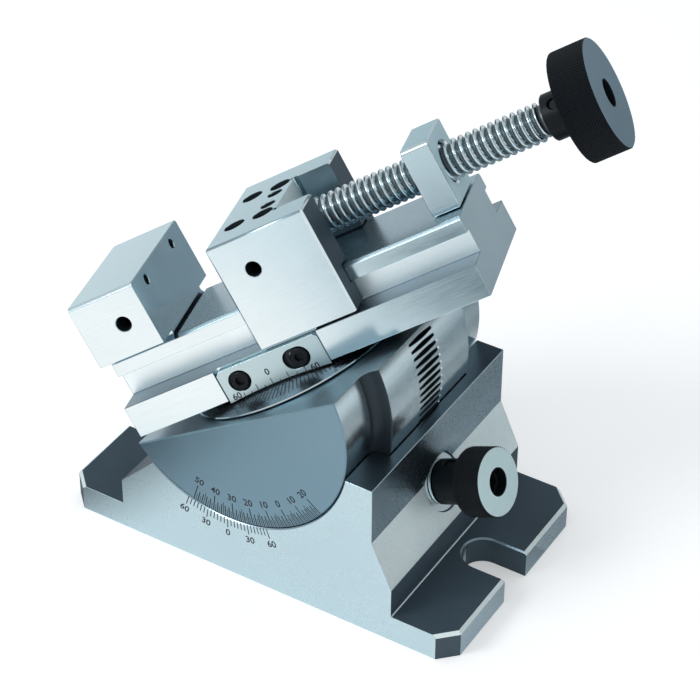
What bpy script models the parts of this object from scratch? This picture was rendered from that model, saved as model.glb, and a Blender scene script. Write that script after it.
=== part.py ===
# Two-axis angle vise: a half drum that tilts in a cradle by a worm, and a screw vise that
# swivels on a graduated disc on the drum's flat face.
#
# World frame: origin at the centre of the cradle's underside, +X towards the worm knob's end,
# +Y from the engraved front face to the back, +Z up. The pieces that tilt hang from the empty
# tilt_axis, those that also swivel from swivel_axis, and the worm's from worm_axis.
# On every frame but the world's, the origin lies on the frame's own joint axis.

import math

import bmesh
import bpy
from mathutils import Matrix, Vector

MM = 0.001

# Pose in which the vise stands
tilt_angle = math.radians(33.0)
swivel_angle = math.radians(23.0)

# Clearances
seat_gap = 0.3 * MM
running_gap = 0.35 * MM
jaw_gap = 0.4 * MM
overrun = 2.0 * MM
weld_distance = 0.01 * MM

# How finely round shapes are cut into facets
fine_sides = 40
round_sides = 24
small_sides = 16
tiny_sides = 12

# Cradle block
base_length = 139.0 * MM
base_width = 78.0 * MM
flange_thickness = 9.4 * MM
flange_corner = 5.5 * MM
drum_axis_offset = -9.0 * MM
cradle_floor = 16.5 * MM
step_reach = 39.5 * MM
step_height = 18.7 * MM
cradle_slope = math.radians(45.0)
cradle_wall = 3.2 * MM
wall_height = 55.4 * MM
flank_lean = math.radians(24.0)
foot_height = 19.9 * MM
knee_height = 35.4 * MM
slot_width = 13.5 * MM
slot_depth = 17.8 * MM

# Tilting half drum
band_step = 5.5 * MM
band_half_width = 22.5 * MM
band_radius = 47.5 * MM
cove_radius = 3.0 * MM
flat_drop = 5.2 * MM
drum_steps = 72
cove_steps = 2

# Worm and the teeth that it drives
tooth_count = 120
tooth_sink = 2.8 * MM
worm_pitch_radius = 6.3 * MM
worm_crest_radius = 7.1 * MM
worm_crest_width = 0.44 * MM
worm_root_width = 0.9 * MM
worm_turns = 6
thread_steps = 12
gash_radius = 7.4 * MM
gash_rim_width = 0.9 * MM
gash_hub_width = 2.5 * MM
gash_sides = 18
worm_groove_depth = 2.3 * MM
worm_groove_half_width = 7.6 * MM
worm_groove_margin = math.radians(19.4)
tilt_down_travel = math.radians(33.0)
tilt_up_travel = math.radians(12.0)
first_gash_before_tip = math.radians(2.2)
gashes_past_worm = 10

# Worm shaft, its bearings and its knob
flank_bore_radius = 9.3 * MM
flank_bore_end = 12.0 * MM
tail_bore_radius = 5.3 * MM
tail_bore_end = 20.5 * MM
tail_radius = 3.0 * MM
tail_bush_start = 14.0 * MM
tail_bush_length = 6.0 * MM
worm_core_radius = 5.0 * MM
worm_core_end = 9.5 * MM
sleeve_sink = 12.7 * MM
sleeve_length = 12.0 * MM
worm_neck_radius = 4.4 * MM
worm_stub_radius = 3.4 * MM
washer_thickness = 0.8 * MM
small_hub_radius = 7.0 * MM
hub_stand = 0.7 * MM
small_hub_length = 10.4 * MM
small_knob_radius = 10.7 * MM
small_knob_length = 9.3 * MM
small_knob_edge = 0.3 * MM
small_socket_flats = 6.3 * MM
small_socket_depth = 6.0 * MM
knob_mouth_radius = 4.2 * MM
knob_mouth_depth = 3.0 * MM
knob_screw_radius = 1.6 * MM
knob_screw_depth = 0.8 * MM
knob_screw_place = 4.4 * MM
knob_screw_turn = math.radians(45.0)
sleeve_screw_radius = 2.0 * MM
sleeve_screw_length = 8.0 * MM

# Tee slots in the drum and the clamp that holds it down
clamp_offset = 15.0 * MM
tee_neck_half_width = 3.4 * MM
tee_head_half_width = 5.2 * MM
tee_lip = 3.8 * MM
tee_slot_depth = 8.7 * MM
tee_slot_margin = math.radians(10.0)
tee_nut_length = 9.0 * MM
tee_nut_height = 3.4 * MM
clamp_bolt_radius = 3.0 * MM
clamp_bolt_gap = 0.3 * MM
clamp_head_radius = 5.0 * MM
clamp_head_height = 4.0 * MM
clamp_washer_thickness = 1.0 * MM
clamp_recess = 7.6 * MM
clamp_recess_gap = 0.5 * MM
clamp_socket_flats = 5.0 * MM
clamp_socket_depth = 2.4 * MM

# Graduated swivel disc, pivot and swivel lock
disc_radius = 36.0 * MM
disc_rim_height = 0.6 * MM
disc_seat_radius = 23.6 * MM
pivot_radius = 7.0 * MM
pivot_depth = 20.0 * MM
pivot_socket_depth = 5.0 * MM
disc_screw_circle = 15.5 * MM
disc_screw_count = 4
disc_screw_head_radius = 3.0 * MM
disc_screw_radius = 1.5 * MM
disc_screw_length = 8.0 * MM
disc_screw_sink = 0.2 * MM
lock_depth = 13.0 * MM
lock_screw_radius = 3.0 * MM
lock_screw_length = 12.0 * MM
lock_screw_recess = 1.5 * MM
lock_pad_radius = 2.6 * MM
lock_socket_flats = 3.0 * MM
lock_socket_depth = 3.0 * MM

# Vise body: flange, neck, rail head and fixed jaw
body_left = 49.0 * MM
body_right = 70.4 * MM
body_half_width = 25.0 * MM
flange_bottom = -1.9 * MM
flange_top = 8.4 * MM
neck_half_width = 15.1 * MM
rail_half_width = 17.8 * MM
rail_bottom = 15.9 * MM
rail_top = 21.2 * MM
rail_chamfer = 1.0 * MM
fixed_jaw_length = 22.6 * MM
fixed_jaw_bottom = 22.7 * MM
jaw_top = 43.4 * MM
jaw_chamfer = 0.8 * MM
jaw_relief_width = 1.3 * MM
jaw_relief_depth = 1.0 * MM
stop_hole_radius = 2.4 * MM
stop_hole_depth = 10.0 * MM
fixed_stop_place = 14.0 * MM
face_hole_radius = 1.6 * MM
face_hole_depth = 8.0 * MM
face_hole_offset = 13.9 * MM
face_hole_drop = 3.9 * MM

# Vernier plate on the flange's near side
plate_half_length = 17.4 * MM
plate_thickness = 1.8 * MM
plate_top_drop = 0.6 * MM
plate_screw_spacing = 20.3 * MM
plate_screw_shift = -0.85 * MM
plate_screw_height = 2.8 * MM
plate_slot_radius = 3.3 * MM
plate_slot_travels = (0.4 * MM, 2.0 * MM)
plate_slot_depth = 1.2 * MM
plate_screw_head_radius = 2.9 * MM
plate_screw_head_height = 1.8 * MM
plate_screw_radius = 1.5 * MM
plate_screw_length = 7.0 * MM
plate_socket_flats = 2.5 * MM
plate_socket_depth = 1.1 * MM

# Movable jaw with its slide plate, screws and pins
jaw_left = -0.7 * MM
jaw_length = 32.7 * MM
jaw_bottom = 9.2 * MM
slide_plate_thickness = 2.6 * MM
slide_plate_inset = 1.6 * MM
pocket_place = 20.7 * MM
pocket_half_width = 12.3 * MM
jaw_screw_near = 6.4 * MM
jaw_screw_far = 16.1 * MM
jaw_screw_offset = 11.3 * MM
jaw_screw_radius = 1.9 * MM
jaw_screw_head_radius = 3.1 * MM
jaw_screw_head_height = 3.6 * MM
jaw_screw_top = 31.5 * MM
jaw_screw_bottom = 22.6 * MM
jaw_socket_flats = 3.0 * MM
jaw_socket_depth = 1.8 * MM
retainer_offset = 4.5 * MM
retainer_radius = 2.2 * MM
retainer_top = 41.0 * MM
retainer_bottom = 26.2 * MM
retainer_place = 16.1 * MM
jaw_stop_place = 10.7 * MM

# Spindle, nut block and spindle knob
spindle_height = 32.6 * MM
spindle_radius = 5.9 * MM
spindle_tail_radius = 4.6 * MM
spindle_neck_radius = 1.9 * MM
spindle_neck_length = 5.0 * MM
spindle_tail_start = 10.0 * MM
spindle_thread_start = 22.5 * MM
spindle_thread_end = 101.7 * MM
nut_left = 60.7 * MM
nut_length = 9.0 * MM
nut_half_width = 10.2 * MM
nut_chamfer = 0.9 * MM
nut_screw_offset = 6.4 * MM
nut_screw_radius = 1.7 * MM
nut_screw_head_radius = 2.9 * MM
nut_screw_head_height = 3.0 * MM
nut_screw_top = 25.6 * MM
nut_screw_recess = 4.2 * MM
nut_socket_flats = 2.5 * MM
nut_socket_depth = 1.6 * MM
hub_radius = 7.1 * MM
hub_start = 102.1 * MM
hub_length = 7.5 * MM
knob_radius = 17.0 * MM
knob_length = 11.4 * MM
knob_edge = 0.3 * MM
knob_bore_radius = 4.5 * MM
knob_socket_flats = 6.8 * MM
knob_socket_depth = 9.0 * MM
spindle_stub_radius = 4.2 * MM
spindle_stub_length = 8.5 * MM

# Places that follow from the sizes above
axis_height = band_radius + cradle_floor
wall_reach = band_radius + cradle_wall
end_disc_radius = band_radius - band_step
wheel_pitch_radius = band_radius - tooth_sink
worm_groove_radius = band_radius - worm_groove_depth
tee_neck_radius = band_radius - tee_lip
tee_head_radius = band_radius - tee_slot_depth
worm_distance = wheel_pitch_radius + worm_pitch_radius
tooth_step = 2.0 * math.pi / tooth_count
worm_lead = wheel_pitch_radius * tooth_step
lead_slope = worm_lead / (2.0 * math.pi * worm_pitch_radius)
contact_angle = flank_lean - math.pi / 2.0 - tilt_angle
worm_x = drum_axis_offset + worm_distance * math.sin(flank_lean)
worm_z = axis_height - worm_distance * math.cos(flank_lean)
knee_run = drum_axis_offset + wall_reach - worm_x
flank_station = knee_run * math.cos(flank_lean) + (knee_height - worm_z) * math.sin(flank_lean)
sleeve_start = flank_station - sleeve_sink
small_hub_start = flank_station + hub_stand
disc_bottom = seat_gap - flat_drop
disc_top = flange_bottom - seat_gap
jaw_right = jaw_left + jaw_length
fixed_jaw_face = fixed_jaw_length - body_left
knob_start = hub_start + hub_length
knob_face = knob_start + knob_length
small_knob_start = small_hub_start + small_hub_length
small_knob_face = small_knob_start + small_knob_length


def start_clean():
    for old in list(bpy.data.objects):
        bpy.data.objects.remove(old, do_unlink=True)
    for name in ("angle_vise", "cutters"):
        collection = bpy.data.collections.get(name) or bpy.data.collections.new(name)
        if name not in bpy.context.scene.collection.children:
            bpy.context.scene.collection.children.link(collection)


def material(name, colour, roughness, metallic=1.0):
    made = bpy.data.materials.new(name)
    made.use_nodes = True
    shader = made.node_tree.nodes["Principled BSDF"]
    shader.inputs["Base Color"].default_value = (*colour, 1.0)
    shader.inputs["Roughness"].default_value = roughness
    shader.inputs["Metallic"].default_value = metallic
    return made


def frame(name, location, rotation=(0.0, 0.0, 0.0), parent=None):
    empty = bpy.data.objects.new(name, None)
    bpy.data.collections["angle_vise"].objects.link(empty)
    empty.location = location
    empty.rotation_euler = rotation
    empty.parent = parent
    return empty


def add_object(name, mesh, parent, look=None):
    # Without a look the object is a cutter.
    made = bpy.data.objects.new(name, mesh)
    made.parent = parent
    if look is None:
        bpy.data.collections["cutters"].objects.link(made)
        made.hide_render = True
        made.display_type = "WIRE"
        return made
    bpy.data.collections["angle_vise"].objects.link(made)
    mesh.materials.clear()
    mesh.materials.append(look)
    mesh.shade_smooth()
    mesh.set_sharp_from_angle(angle=math.radians(32.0))
    return made


def add_copies(name, mesh, places, parent, look):
    # Copies of one piece, each its own object; places are matrices in the parent's frame.
    for number, place in enumerate(places, 1):
        made = add_object("%s_%d" % (name, number), mesh, parent, look)
        made.matrix_basis = place


def box_mesh(name, low, high):
    work = bmesh.new()
    bmesh.ops.create_cube(work, size=1.0)
    size = Vector(high) - Vector(low)
    middle = (Vector(high) + Vector(low)) / 2.0
    place = Matrix.Translation(middle) @ Matrix.Diagonal((*size, 1.0))
    bmesh.ops.transform(work, matrix=place, verts=work.verts)
    return finish_mesh(name, work)


def finish_mesh(name, work):
    mesh = bpy.data.meshes.new(name)
    work.to_mesh(mesh)
    work.free()
    return mesh


def along(axis):
    # Turns a mesh made along Z so that it lies along another axis.
    if axis == "X":
        return Matrix(((0, 0, 1, 0), (0, -1, 0, 0), (1, 0, 0, 0), (0, 0, 0, 1)))
    if axis == "Y":
        return Matrix(((1, 0, 0, 0), (0, 0, 1, 0), (0, -1, 0, 0), (0, 0, 0, 1)))
    return Matrix.Identity(4)


def rod_mesh(name, radius, low, high, axis="Z", centre=(0.0, 0.0, 0.0), sides=small_sides):
    # A prism along one axis between two stations; with six sides, radius is to its corners.
    work = bmesh.new()
    bmesh.ops.create_cone(
        work, cap_ends=True, segments=sides, radius1=radius, radius2=radius, depth=high - low)
    bmesh.ops.translate(work, vec=(0.0, 0.0, (high + low) / 2.0), verts=work.verts)
    bmesh.ops.transform(work, matrix=Matrix.Translation(centre) @ along(axis), verts=work.verts)
    return finish_mesh(name, work)


def hexagon_radius(flats):
    return flats / (2.0 * math.cos(math.pi / 6.0))


def bake(source, name):
    # The evaluated mesh of a helper object, which is then removed.
    bpy.context.view_layer.update()
    graph = bpy.context.evaluated_depsgraph_get()
    mesh = bpy.data.meshes.new_from_object(source.evaluated_get(graph))
    mesh.name = name
    bpy.data.objects.remove(source, do_unlink=True)
    return mesh


def turned_mesh(name, profile, axis="Z", steps=round_sides):
    # The profile lists (radius, station) from the highest station to the lowest.
    work = bmesh.new()
    corners = [work.verts.new((radius, 0.0, station)) for radius, station in profile]
    for first, second in zip(corners, corners[1:]):
        work.edges.new((first, second))
    helper = bpy.data.objects.new(name, finish_mesh(name, work))
    bpy.context.scene.collection.objects.link(helper)
    screw = helper.modifiers.new("turn", "SCREW")
    screw.axis = "Z"
    screw.steps = steps
    screw.render_steps = steps
    screw.use_merge_vertices = True
    screw.merge_threshold = weld_distance
    mesh = bake(helper, name)
    mesh.transform(along(axis))
    return mesh


def outline_mesh(name, points, low, high, axis="Y"):
    # A flat outline given a thickness: in X and Z along Y, or in Y and Z along X, or in X and Y along Z.
    curve = bpy.data.curves.new(name, "CURVE")
    curve.dimensions = "2D"
    curve.fill_mode = "BOTH"
    curve.extrude = (high - low) / 2.0
    spline = curve.splines.new("POLY")
    spline.points.add(len(points) - 1)
    for point, (across, up) in zip(spline.points, points):
        point.co = (across, up, 0.0, 1.0)
    spline.use_cyclic_u = True
    helper = bpy.data.objects.new(name, curve)
    bpy.context.scene.collection.objects.link(helper)
    mesh = bake(helper, name)
    bpy.data.curves.remove(curve)
    middle = (high + low) / 2.0
    stand = {
        "Y": Matrix.Translation((0.0, middle, 0.0)) @ Matrix.Rotation(math.pi / 2.0, 4, "X"),
        "X": Matrix.Translation((middle, 0.0, 0.0)) @ Matrix(
            ((0, 0, 1, 0), (1, 0, 0, 0), (0, 1, 0, 0), (0, 0, 0, 1))),
        "Z": Matrix.Translation((0.0, 0.0, middle)),
    }[axis]
    work = bmesh.new()
    work.from_mesh(mesh)
    bmesh.ops.remove_doubles(work, verts=work.verts, dist=weld_distance)
    bmesh.ops.transform(work, matrix=stand, verts=work.verts)
    bmesh.ops.recalc_face_normals(work, faces=work.faces)
    work.to_mesh(mesh)
    work.free()
    return mesh


def joined_mesh(name, pieces):
    # Several separate bodies in one mesh; each piece is (mesh, matrix).
    work = bmesh.new()
    for mesh, matrix in pieces:
        before = len(work.verts)
        work.from_mesh(mesh)
        work.verts.ensure_lookup_table()
        bmesh.ops.transform(work, matrix=matrix, verts=work.verts[before:])
    return finish_mesh(name, work)


def combine(target, tool, operation="DIFFERENCE"):
    modifier = target.modifiers.new(operation.lower(), "BOOLEAN")
    modifier.operation = operation
    modifier.solver = "EXACT"
    modifier.object = tool


def cut(target, name, mesh, parent):
    combine(target, add_object(name, mesh, parent))


def mirror_halves(target):
    # The mesh holds the far half and runs a little past the plane Y = 0.
    modifier = target.modifiers.new("halves", "MIRROR")
    modifier.use_axis = (False, True, False)
    modifier.use_bisect_axis = (False, True, False)
    modifier.merge_threshold = weld_distance


def arc_points(radius, start, end, steps, centre=(0.0, 0.0)):
    made = []
    for index in range(steps + 1):
        angle = start + (end - start) * index / steps
        made.append((centre[0] + radius * math.cos(angle), centre[1] + radius * math.sin(angle)))
    return made


def sector_mesh(name, inner, outer, start, end, low, high):
    # A stretch of a ring around the tilt axis, between two depths along it.
    steps = max(2, round((end - start) * drum_steps / (2.0 * math.pi)))
    points = arc_points(outer, start, end, steps) + arc_points(inner, end, start, steps)
    return outline_mesh(name, points, low, high, "Y")


def drum_profile(gap):
    # Radius and depth from the back face to the front one; a gap makes it larger all round.
    half = base_width / 2.0
    edge = band_half_width + gap
    end = half + (overrun if gap else 0.0)
    cove = cove_radius - gap
    back = []
    for index in range(cove_steps + 1):
        angle = math.pi / 2.0 * index / cove_steps
        reach = end_disc_radius + cove_radius - cove * math.cos(angle)
        back.append((reach, edge + cove_radius - gap - cove * math.sin(angle)))
    front = [(radius, -depth) for radius, depth in reversed(back)]
    ends = [(0.0, end), (end_disc_radius + gap, end)]
    band = [(band_radius + gap, edge), (band_radius + gap, -edge)]
    return ends + back + band + front + [(radius, -depth) for radius, depth in reversed(ends)]


def screw_profile(top, head_radius, head_height, radius, bottom):
    under = top - head_height
    return [
        (0.0, top), (head_radius, top), (head_radius, under),
        (radius, under), (radius, bottom), (0.0, bottom)]


def socket_screw_mesh(name, profile, flats, depth, sides=tiny_sides):
    # A turned screw along Z with a hexagon socket in its top.
    top = profile[0][1]
    body = bpy.data.objects.new(name, turned_mesh(name, profile, "Z", sides))
    socket_mesh = rod_mesh(name + "_socket", hexagon_radius(flats), top - depth, top + overrun, "Z", sides=6)
    socket = bpy.data.objects.new(name + "_socket", socket_mesh)
    for made in (body, socket):
        bpy.context.scene.collection.objects.link(made)
    combine(body, socket)
    mesh = bake(body, name)
    bpy.data.objects.remove(socket, do_unlink=True)
    return mesh


def make_looks():
    return {
        "ground": material("ground_steel", (0.62, 0.70, 0.74), 0.32),
        "dark_ground": material("shaded_steel", (0.42, 0.50, 0.56), 0.35),
        "jaw": material("jaw_steel", (0.72, 0.80, 0.83), 0.28),
        "disc": material("graduated_steel", (0.58, 0.66, 0.70), 0.25),
        "black": material("blackened_steel", (0.03, 0.045, 0.06), 0.42),
        "thread": material("bright_screw_steel", (0.55, 0.62, 0.66), 0.2),
        "bronze": material("bearing_bronze", (0.55, 0.42, 0.25), 0.35),
        "brass": material("brass", (0.72, 0.56, 0.28), 0.3),
    }


def make_base(looks):
    half = base_width / 2.0
    left = -base_length / 2.0
    right = base_length / 2.0
    step = drum_axis_offset - step_reach
    wall = drum_axis_offset + wall_reach
    foot = wall + (knee_height - foot_height) * math.tan(flank_lean)
    slope_run = (wall_height - step_height) / math.tan(cradle_slope)
    outline = [
        (left, 0.0),
        (right, 0.0),
        (right, flange_thickness),
        (foot, flange_thickness),
        (foot, foot_height),
        (wall, knee_height),
        (wall, wall_height),
        (step + slope_run, wall_height),
        (step, step_height),
        (step, flange_thickness),
        (left, flange_thickness),
    ]
    base = add_object("base_block", outline_mesh("base_block", outline, -half, half), None, looks["ground"])

    cradle = turned_mesh("cradle_cutter", drum_profile(running_gap), "Y", drum_steps)
    cradle.transform(Matrix.Translation((drum_axis_offset, 0.0, axis_height)))
    cut(base, "cradle_cutter", cradle, None)

    for side in (-1.0, 1.0):
        for across in (-1.0, 1.0):
            corner_x = side * base_length / 2.0
            corner_y = across * half
            reach = flange_corner + overrun
            points = [
                (corner_x + side * overrun, corner_y - across * reach),
                (corner_x + side * overrun, corner_y + across * overrun),
                (corner_x - side * reach, corner_y + across * overrun),
            ]
            name = "corner_cutter_%d%d" % (side > 0, across > 0)
            cut(base, name, outline_mesh(name, points, -overrun, flange_thickness + overrun, "Z"), None)
        inner = side * (base_length / 2.0 - slot_depth + slot_width / 2.0)
        outer = side * (base_length / 2.0 + overrun)
        turn = math.pi / 2.0
        round_end = arc_points(slot_width / 2.0, turn, turn + side * math.pi, small_sides // 2, (inner, 0.0))
        points = [(outer, slot_width / 2.0)] + round_end + [(outer, -slot_width / 2.0)]
        name = "bolt_slot_cutter_%d" % (side > 0)
        cut(base, name, outline_mesh(name, points, -overrun, flange_thickness + overrun, "Z"), None)
    return base


def bore_base(base, worm_frame):
    flank_end = worm_distance
    flank_bore = rod_mesh(
        "flank_bore_cutter", flank_bore_radius, -flank_bore_end, flank_end, "X", sides=fine_sides)
    cut(base, "flank_bore_cutter", flank_bore, worm_frame)
    tail_bore = rod_mesh("tail_bore_cutter", tail_bore_radius, -tail_bore_end, 0.0, "X")
    cut(base, "tail_bore_cutter", tail_bore, worm_frame)
    for side in (-1.0, 1.0):
        place = (drum_axis_offset, side * clamp_offset, 0.0)
        recess_radius = clamp_head_radius + clamp_recess_gap
        name = "clamp_recess_cutter_%d" % (side > 0)
        cut(base, name, rod_mesh(name, recess_radius, -overrun, clamp_recess, "Z", place), None)
        name = "clamp_hole_cutter_%d" % (side > 0)
        hole_top = axis_height - tee_head_radius
        bolt_hole = rod_mesh(name, clamp_bolt_radius + clamp_bolt_gap, -overrun, hole_top, "Z", place)
        cut(base, name, bolt_hole, None)
    station, height = sleeve_screw_place()
    hole_radius = sleeve_screw_radius + seat_gap
    hole_top = height + 2.0 * sleeve_screw_radius
    hole = rod_mesh("sleeve_screw_cutter", hole_radius, -overrun, hole_top, "Z", (station, 0.0, 0.0))
    cut(base, "sleeve_screw_cutter", hole, None)


def worm_point(station):
    # World X and Z of a station along the worm's axis.
    return worm_x + station * math.cos(flank_lean), worm_z + station * math.sin(flank_lean)


def sleeve_screw_place():
    # World X of the sleeve's grub screw and the least height of the sleeve's sloping underside over it.
    x, z = worm_point(sleeve_start + sleeve_length / 2.0)
    underside = z - (flank_bore_radius - seat_gap) / math.cos(flank_lean)
    return x, underside - sleeve_screw_radius * math.tan(flank_lean)


def make_drum(looks, tilt_frame):
    drum_mesh = turned_mesh("tilt_drum", drum_profile(0.0), "Y", drum_steps)
    drum = add_object("tilt_drum", drum_mesh, tilt_frame, looks["dark_ground"])
    reach = band_radius + overrun
    half = base_width / 2.0
    above = box_mesh(
        "flat_cutter", (-reach, -half - overrun, -flat_drop), (reach, half + overrun, reach))
    cut(drum, "flat_cutter", above, tilt_frame)

    lowest = contact_angle - tilt_up_travel - worm_groove_margin
    highest = contact_angle + tilt_down_travel + worm_groove_margin
    groove = sector_mesh(
        "worm_groove_cutter", worm_groove_radius, reach, lowest, highest,
        -worm_groove_half_width, worm_groove_half_width)
    cut(drum, "worm_groove_cutter", groove, tilt_frame)

    rest = -math.pi / 2.0 - tilt_angle
    slot_low = rest - tilt_up_travel - tee_slot_margin
    slot_high = rest + tilt_down_travel + tee_slot_margin
    for side in (-1.0, 1.0):
        middle = side * clamp_offset
        name = "tee_neck_cutter_%d" % (side > 0)
        neck = sector_mesh(
            name, tee_head_radius + seat_gap, reach, slot_low, slot_high,
            middle - tee_neck_half_width, middle + tee_neck_half_width)
        cut(drum, name, neck, tilt_frame)
        name = "tee_head_cutter_%d" % (side > 0)
        head = sector_mesh(
            name, tee_head_radius, tee_neck_radius, slot_low, slot_high,
            middle - tee_head_half_width, middle + tee_head_half_width)
        cut(drum, name, head, tilt_frame)

    cut(drum, "gash_cutters", gash_mesh(), tilt_frame)
    bore = rod_mesh(
        "pivot_bore_cutter", pivot_radius + running_gap, -flat_drop - pivot_depth, 0.0, "Z",
        sides=round_sides)
    cut(drum, "pivot_bore_cutter", bore, tilt_frame)
    lock_height = -flat_drop - lock_depth
    lock_radius = lock_screw_radius + seat_gap
    lock = rod_mesh("lock_bore_cutter", lock_radius, 0.0, half + overrun, "Y", (0.0, 0.0, lock_height))
    cut(drum, "lock_bore_cutter", lock, tilt_frame)
    for index, (x, y) in enumerate(disc_screw_places()):
        name = "disc_screw_bore_cutter_%d" % index
        depth = disc_top - disc_screw_length - overrun
        bore = rod_mesh(name, disc_screw_radius + seat_gap, depth, 0.0, "Z", (x, y, 0.0), sides=tiny_sides)
        cut(drum, name, bore, tilt_frame)
    return drum


def gash_mesh():
    # One gash is cut by a thin wheel as large as the worm, square to the worm's thread.
    work = bmesh.new()
    bmesh.ops.create_cone(
        work, cap_ends=True, cap_tris=True, segments=gash_sides,
        radius1=gash_radius, radius2=gash_radius, depth=gash_rim_width)
    for corner in work.verts:
        if math.hypot(corner.co.x, corner.co.y) < gash_radius / 2.0:
            corner.co.z = math.copysign(gash_hub_width / 2.0, corner.co.z)
    wheel = finish_mesh("gash_wheel", work)
    tip = -math.asin(flat_drop / band_radius)
    first = contact_angle - gashes_past_worm * tooth_step
    count = int((tip - first_gash_before_tip - first) / tooth_step) + 1
    pieces = []
    for index in range(count):
        angle = first + index * tooth_step
        outward = Vector((math.cos(angle), 0.0, math.sin(angle)))
        around = Vector((-math.sin(angle), 0.0, math.cos(angle)))
        normal = (around + lead_slope * Vector((0.0, 1.0, 0.0))).normalized()
        turn = Matrix((outward, normal.cross(outward), normal)).transposed().to_4x4()
        pieces.append((wheel, Matrix.Translation(outward * worm_distance) @ turn))
    return joined_mesh("gash_cutters", pieces)


def disc_screw_places():
    places = []
    for index in range(disc_screw_count):
        angle = math.pi / 4.0 + 2.0 * math.pi * index / disc_screw_count
        places.append((disc_screw_circle * math.cos(angle), disc_screw_circle * math.sin(angle)))
    return places


def make_disc(looks, tilt_frame):
    rim = disc_bottom + disc_rim_height
    bore = pivot_radius + running_gap
    profile = [
        (bore, disc_top), (disc_seat_radius, disc_top), (disc_radius, rim),
        (disc_radius, disc_bottom), (bore, disc_bottom)]
    disc_mesh = closed_turn_mesh("swivel_disc", profile, "Z", drum_steps)
    disc = add_object("swivel_disc", disc_mesh, tilt_frame, looks["disc"])

    head_top = disc_top - disc_screw_sink
    cone = disc_screw_head_radius - disc_screw_radius
    screw = [
        (0.0, head_top), (disc_screw_head_radius, head_top), (disc_screw_radius, head_top - cone),
        (disc_screw_radius, disc_top - disc_screw_length), (0.0, disc_top - disc_screw_length)]
    sink = [
        (0.0, disc_top + overrun), (disc_screw_head_radius + seat_gap, disc_top + overrun),
        (disc_screw_head_radius + seat_gap, head_top), (disc_screw_radius + seat_gap, head_top - cone),
        (disc_screw_radius + seat_gap, disc_bottom - overrun), (0.0, disc_bottom - overrun)]
    places = [Matrix.Translation((x, y, 0.0)) for x, y in disc_screw_places()]
    sinks = turned_mesh("disc_screw_sinks", sink, "Z", tiny_sides)
    all_sinks = joined_mesh("disc_screw_sinks", [(sinks, place) for place in places])
    cut(disc, "disc_screw_sinks", all_sinks, tilt_frame)
    one = turned_mesh("swivel_disc_screw", screw, "Z", tiny_sides)
    add_copies("swivel_disc_screw", one, places, tilt_frame, looks["black"])


def make_swivel_lock(looks, tilt_frame):
    height = -flat_drop - lock_depth
    screw_end = base_width / 2.0 - lock_screw_recess
    screw_start = screw_end - lock_screw_length
    screw = socket_screw_mesh(
        "swivel_lock_screw", [
            (0.0, screw_end), (lock_screw_radius, screw_end),
            (lock_screw_radius, screw_start), (0.0, screw_start)],
        lock_socket_flats, lock_socket_depth)
    screw.transform(Matrix.Translation((0.0, 0.0, height)) @ along("Y"))
    add_object("swivel_lock_screw", screw, tilt_frame, looks["black"])
    pad = rod_mesh(
        "swivel_lock_pad", lock_pad_radius, pivot_radius + seat_gap, screw_start - seat_gap, "Y",
        (0.0, 0.0, height))
    add_object("swivel_lock_pad", pad, tilt_frame, looks["brass"])


def make_drum_clamp(looks):
    nut_low = axis_height - tee_neck_radius + seat_gap * 2.0
    nut_high = nut_low + tee_nut_height
    half_width = tee_head_half_width - seat_gap
    bolt_top = nut_high - seat_gap
    head_bottom = clamp_recess - clamp_washer_thickness - seat_gap - clamp_head_height
    washer_low = clamp_recess - seat_gap - clamp_washer_thickness
    nut_hole = clamp_bolt_radius + seat_gap
    nut = plate_with_hole("clamp_tee_nut", (tee_nut_length / 2.0, half_width), nut_low, nut_high, nut_hole)
    bolt_profile = [
        (0.0, -head_bottom), (clamp_head_radius, -head_bottom),
        (clamp_head_radius, -head_bottom - clamp_head_height),
        (clamp_bolt_radius, -head_bottom - clamp_head_height), (clamp_bolt_radius, -bolt_top),
        (0.0, -bolt_top)]
    bolt = socket_screw_mesh("clamp_bolt", bolt_profile, clamp_socket_flats, clamp_socket_depth)
    bolt.transform(Matrix.Rotation(math.pi, 4, "X"))
    washer = ring_mesh(
        "clamp_washer", clamp_head_radius, clamp_bolt_radius + seat_gap,
        washer_low + seat_gap, clamp_recess - seat_gap)
    places = [Matrix.Translation((drum_axis_offset, side * clamp_offset, 0.0)) for side in (-1.0, 1.0)]
    add_copies("clamp_tee_nut", nut, places, None, looks["black"])
    add_copies("clamp_bolt", bolt, places, None, looks["black"])
    add_copies("clamp_washer", washer, places, None, looks["thread"])


def ring_mesh(name, outer, inner, low, high, axis="Z", steps=round_sides):
    return closed_turn_mesh(name, ((inner, high), (outer, high), (outer, low), (inner, low)), axis, steps)


def closed_turn_mesh(name, profile, axis="Z", steps=round_sides):
    # A closed profile of (radius, station), clear of the axis, turned once round it.
    work = bmesh.new()
    corners = [work.verts.new((radius, 0.0, station)) for radius, station in profile]
    for index in range(len(corners)):
        work.edges.new((corners[index], corners[(index + 1) % len(corners)]))
    helper = bpy.data.objects.new(name, finish_mesh(name, work))
    bpy.context.scene.collection.objects.link(helper)
    screw = helper.modifiers.new("turn", "SCREW")
    screw.axis = "Z"
    screw.steps = steps
    screw.render_steps = steps
    screw.use_merge_vertices = True
    screw.merge_threshold = weld_distance
    mesh = bake(helper, name)
    work = bmesh.new()
    work.from_mesh(mesh)
    bmesh.ops.recalc_face_normals(work, faces=work.faces)
    bmesh.ops.transform(work, matrix=along(axis), verts=work.verts)
    work.to_mesh(mesh)
    work.free()
    return mesh


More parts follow.
